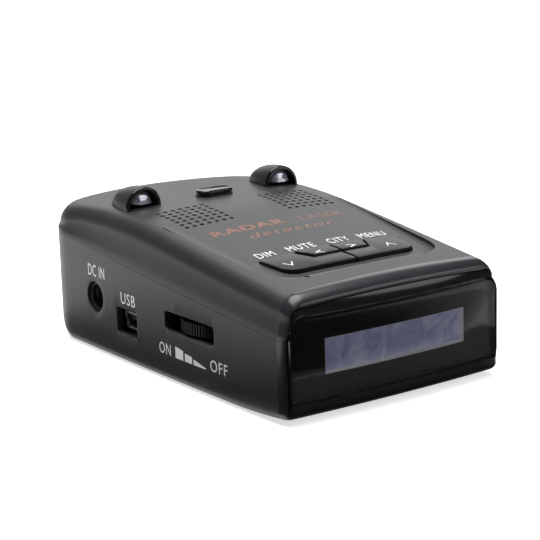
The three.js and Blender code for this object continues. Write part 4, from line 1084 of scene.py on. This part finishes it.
def glowing_film_finish():
    """Lavender protective film with a fine grid, wrinkles and pale streaks, and a painted glow in its own colours."""
    material, tree, surface = shader("glowing_film_finish")
    link, node = tree.links.new, tree.nodes.new
    place = node("ShaderNodeTexCoord")
    cloud = node("ShaderNodeTexNoise")
    cloud.inputs["Scale"].default_value = 170
    cloud.inputs["Detail"].default_value = 6.0
    cloud.inputs["Distortion"].default_value = 1.6
    link(place.outputs["Object"], cloud.inputs["Vector"])
    ramp = node("ShaderNodeValToRGB")
    stops = ramp.color_ramp.elements
    stops[0].position, stops[0].color = 0.32, (0.24, 0.26, 0.47, 1)
    stops[1].position, stops[1].color = 0.70, (0.50, 0.52, 0.72, 1)
    middle = stops.new(0.5)
    middle.color = (0.34, 0.36, 0.57, 1)
    link(cloud.outputs["Fac"], ramp.inputs["Fac"])
    grid = node("ShaderNodeTexWave")
    grid.bands_direction = "X"
    grid.inputs["Scale"].default_value = 520
    grid.inputs["Distortion"].default_value = 0.4
    link(place.outputs["Object"], grid.inputs["Vector"])
    rows = node("ShaderNodeTexWave")
    rows.bands_direction = "Z"
    rows.inputs["Scale"].default_value = 520
    link(place.outputs["Object"], rows.inputs["Vector"])
    cells = node("ShaderNodeMath")
    cells.operation = "MINIMUM"
    link(grid.outputs["Fac"], cells.inputs[0])
    link(rows.outputs["Fac"], cells.inputs[1])
    share = node("ShaderNodeMapRange")
    share.inputs["To Min"].default_value = 0.0
    share.inputs["To Max"].default_value = 0.22
    link(cells.outputs["Value"], share.inputs["Value"])
    mix = node("ShaderNodeMix")
    mix.data_type = "RGBA"
    mix.inputs["B"].default_value = (0.75, 0.76, 0.9, 1)
    link(share.outputs["Result"], mix.inputs["Factor"])
    link(ramp.outputs["Color"], mix.inputs["A"])
    link(mix.outputs["Result"], surface.inputs["Base Color"])
    surface.inputs["Roughness"].default_value = 0.3
    # painted glow: the film emits its own colours, standing in for the light that falls on the screen
    link(mix.outputs["Result"], surface.inputs["Emission Color"])
    surface.inputs["Emission Strength"].default_value = 0.32
    bump = node("ShaderNodeBump")
    bump.inputs["Distance"].default_value = 1.2e-4
    bump.inputs["Strength"].default_value = 0.8
    link(cloud.outputs["Fac"], bump.inputs["Height"])
    link(bump.outputs["Normal"], surface.inputs["Normal"])
    return material


def board_finish():
    """Green solder mask with copper tracks showing through."""
    material, tree, surface = shader("board_finish")
    link, node = tree.links.new, tree.nodes.new
    place = node("ShaderNodeTexCoord")
    tracks = node("ShaderNodeTexBrick")
    tracks.inputs["Scale"].default_value = 260
    tracks.inputs["Mortar Size"].default_value = 0.035
    tracks.inputs["Color1"].default_value = (0.012, 0.075, 0.028, 1)
    tracks.inputs["Color2"].default_value = (0.016, 0.090, 0.034, 1)
    tracks.inputs["Mortar"].default_value = (0.05, 0.17, 0.07, 1)
    link(place.outputs["Object"], tracks.inputs["Vector"])
    link(tracks.outputs["Color"], surface.inputs["Base Color"])
    surface.inputs["Roughness"].default_value = 0.32
    bump = node("ShaderNodeBump")
    bump.inputs["Distance"].default_value = 3e-5
    link(tracks.outputs["Fac"], bump.inputs["Height"])
    link(bump.outputs["Normal"], surface.inputs["Normal"])
    return material


film = glowing_film_finish()
board = board_finish()


def paint(item, material):
    item.data.materials.clear()
    item.data.materials.append(material)


CARRIED = {
    clear: ("display_panel", "laser_lens"),
    board: ("display_board", "main_board"),
    steel: ("tact_switch_dim", "tact_switch_mute", "tact_switch_city", "tact_switch_menu", "release_spring",
            "volume_shaft", "speaker_magnet"),
    label_film: ("ribbon_cable",),
    component_black: ("left_alert_led", "right_alert_led", "volume_pot", "laser_sensor", "speaker_frame"),
    # painted shade: key_board, a green circuit board, gets this black so the gaps between the keys look shaded
    inner_black: ("release_catch", "bracket_guide", "laser_lens_holder", "key_board"),
    cast: ("horn_antenna",),
    red_filter: ("laser_window",),
    ceramic: ("gps_antenna",),
    tin: ("processor_shield", "backup_battery"),
    paper: ("speaker_cone",),
}
for material, names in CARRIED.items():
    for name in names:
        paint(nodes[name], material)


def piece(item, material, slot, body="casing", *stands_for):
    paint(item, material)
    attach(item, body)
    if stands_for:
        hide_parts(*stands_for)


# the rounded edge faces, which carry the painted edge highlight
highlighted_rounding = {cover: {face.index for face in cover.data.polygons if face.material_index == EDGE_HIGHLIGHT_SLOT}
              for cover in (casing_top, casing_bottom)}
piece(casing_top, soft_black, "soft_black", "casing", "top_cover")
piece(casing_bottom, soft_black, "soft_black", "casing", "bottom_cover")
# gives the rounded faces the painted edge highlight and the front rim its polished finish
for cover, edge_faces in highlighted_rounding.items():
    cover.data.materials.append(edge_highlight_black)
    cover.data.materials.append(rim_black)
    for face in cover.data.polygons:
        face.material_index = EDGE_HIGHLIGHT_SLOT if face.index in edge_faces else 0
        if face.center.y * 1000 - SHIFT < RIM_POLISH_Y:
            face.material_index = RIM_SLOT
piece(bezel_frame, gloss_black, "gloss_black", "casing", "display_bezel")
piece(pane, smoked, "smoked_lens", "casing", "display_window")
piece(screen_mask, mask_black, "inner_black", "casing", "display_holder")
piece(screen_collar, glowing_collar_grey, "inner_black")
# painted glow: the grey collar round the screen emits light of its own, though it is no lamp
glowing_collar_grey.node_tree.nodes["Principled BSDF"].inputs["Emission Color"].default_value = (0.8, 0.8, 0.8, 1)
glowing_collar_grey.node_tree.nodes["Principled BSDF"].inputs["Emission Strength"].default_value = 0.2
piece(film_sheet, film, "screen_film", "casing", "display_film")
for word, cap in key_caps.items():
    piece(cap, key_black, "gloss_black", f"key_{word}", f"key_{word}")
    piece(arrows[word], glowing_white_print, "gloss_black", f"key_{word}")
for item in panel_words + side_words + wedges:
    piece(item, glowing_white_print, "soft_black")
for item in name_words:
    piece(item, copper_print, "soft_black")
for item in kind_words:
    piece(item, dim_print, "soft_black")
for side in sides:
    word = side_name(side)
    piece(hoods[side], soft_black, "soft_black", "casing", f"{word}_dome_hood")
    piece(rims[side], gloss_black, "gloss_black", "casing", f"{word}_dome_ring")
    piece(crystals[side], crystal, "clear_lens", "casing", f"{word}_alert_crystal")
piece(release_cap, gloss_black, "gloss_black", "release", "release_button")
piece(wheel_rim, key_black, "inner_black", "volume", "volume_wheel")
piece(jack_sleeve, inner_black, "inner_black", "casing", "dc_jack_housing")
piece(jack_pin, tin, "tin_plate", "casing", "dc_jack_pin")
piece(jack_spring, tin, "tin_plate")
piece(usb_collar, tin, "tin_plate", "casing", "usb_shell")
piece(usb_back, inner_black, "inner_black")
piece(usb_liner, inner_black, "inner_black")
piece(usb_tongue, inner_black, "inner_black", "casing", "usb_tongue")
piece(usb_contacts, brass, "tin_plate")
for number, head in enumerate(screws, 1):
    piece(head, steel, "steel", "casing", f"case_screw_{number}")
piece(label_plate, label_film, "label_grey", "casing", "rating_label")
piece(label_lines, line_print, "label_grey")


# ---------------------------------------------------------------- stage, lights and camera

FLOOR_Z = 0.0


def sheet_of(name, corners, material):
    mesh = bpy.data.meshes.new(name)
    mesh.from_pydata(corners, [], [tuple(range(len(corners)))])
    item = bpy.data.objects.new(name, mesh)
    bpy.context.collection.objects.link(item)
    item.data.materials.append(material)
    return item


def floor_finish():
    material, tree, surface = shader("floor_finish")
    surface.inputs["Base Color"].default_value = (0.9, 0.9, 0.9, 1)
    surface.inputs["Roughness"].default_value = 0.9
    surface.inputs["Emission Color"].default_value = (1, 1, 1, 1)
    surface.inputs["Emission Strength"].default_value = 0.62
    return material


FLOOR = 4.0
sheet_of("floor", [(-FLOOR, -FLOOR, FLOOR_Z), (FLOOR, -FLOOR, FLOOR_Z), (FLOOR, FLOOR, FLOOR_Z),
                   (-FLOOR, FLOOR, FLOOR_Z)], floor_finish())


def soft_light(name, place, aim, wide, high, watts):
    data = bpy.data.lights.new(name, "AREA")
    data.shape = "RECTANGLE"
    data.size, data.size_y, data.energy = wide, high, watts
    lamp = bpy.data.objects.new(name, data)
    lamp.location = place
    lamp.rotation_euler = (Vector(aim) - Vector(place)).to_track_quat("-Z", "Y").to_euler()
    bpy.context.collection.objects.link(lamp)
    return lamp


def card(name, corners, shade_of):
    """A dark card that only reflections and soft light see."""
    material, tree, surface = shader(name + "_finish")
    surface.inputs["Base Color"].default_value = (shade_of, shade_of, shade_of, 1)
    surface.inputs["Roughness"].default_value = 1.0
    surface.inputs["Specular IOR Level"].default_value = 0.0
    item = sheet_of(name, corners, material)
    item.visible_camera = False
    item.visible_shadow = False
    return item


def floor_card(name, corners, shade_of, height=0.0006):
    return card(name, [(x / 1000, y / 1000, height) for x, y in corners], shade_of)


floor_card("front_card", [(-400, -84), (10, -84), (38, -100), (45, -125), (200, -900), (-400, -900)], 0.01)
floor_card("near_card", [(-33, -83), (60, -83), (60, -57), (-33, -57)], 0.33, 0.0004)
floor_card("lip_card", [(-33, -58.5), (36, -58.5), (36, -52), (-33, -52)], 0.14, 0.0006)
GRADED = (0.05, 0.12, 0.2, 0.3, 0.42, 0.6)
for step, shade_of_card in enumerate(GRADED):
    edges = [[(10 + 7 * k, -84), (38 + 8 * k, -100), (45 + 9 * k, -125), (200 + 40 * k, -900)]
             for k in (step, step + 1)]
    floor_card(f"graded_card_{step}", edges[0] + edges[1][::-1], shade_of_card, 0.0005)
floor_card("left_card", [(-400, -83), (-33, -83), (-31.5, -20), (-400, -20)], 0.01, 0.0008)
floor_card("side_card", [(-62, -19), (-31.5, -19), (-31.5, 60), (-62, 60)], 0.12)
soft_light("overhead", (0.03, 0.16, 0.8), (0, 0, 0), 0.7, 0.7, 8.5)
soft_light("back_box", (0.55, 0.85, 0.42), (0, 0.02, 0.02), 1.0, 0.45, 2.3)
soft_light("front_strip", (0.0, -0.33, 0.8), (0, -0.05, 0.03), 0.6, 0.25, 0.8)
card("shoulder_card", [(-0.55, 0.5, 0.06), (-0.03, 0.5, 0.06), (-0.03, 0.42, 0.75), (-0.55, 0.42, 0.75)], 0.02)
soft_light("front_right_box", (0.5, -0.66, 0.36), (0, -0.05, 0.02), 0.5, 0.35, 1.1)

world = bpy.data.worlds.new("studio")
bpy.context.scene.world = world
world.use_nodes = True
sky = world.node_tree
way = sky.nodes.new("ShaderNodeTexCoord")
parts = sky.nodes.new("ShaderNodeSeparateXYZ")
sky.links.new(way.outputs["Generated"], parts.inputs["Vector"])
fade = sky.nodes.new("ShaderNodeMapRange")
fade.interpolation_type = "SMOOTHSTEP"
fade.inputs["From Min"].default_value = -0.2
fade.inputs["From Max"].default_value = 0.8
fade.inputs["To Min"].default_value = 0.25
fade.inputs["To Max"].default_value = 1.3
sky.links.new(parts.outputs["Y"], fade.inputs["Value"])
sky.links.new(fade.outputs["Result"], sky.nodes["Background"].inputs["Strength"])

camera_data = bpy.data.cameras.new("camera")
camera_data.sensor_width = 36.0
camera_data.lens = 118.22
camera_data.clip_start = 0.01
camera_data.clip_end = 20.0
camera = bpy.data.objects.new("camera", camera_data)
bpy.context.collection.objects.link(camera)
across = Vector((0.81188, -0.58316, -0.02797))
upward = Vector((0.15894, 0.17468, 0.97171))
outward = Vector((-0.56178, -0.79335, 0.23450))
turn = Matrix((across, upward, outward)).transposed().to_4x4()
camera.matrix_world = Matrix.Translation((-0.236405, -0.340202, 0.119614)) @ turn
bpy.context.scene.camera = camera
bpy.context.scene.view_settings.view_transform = "Standard"

bpy.context.view_layer.update()
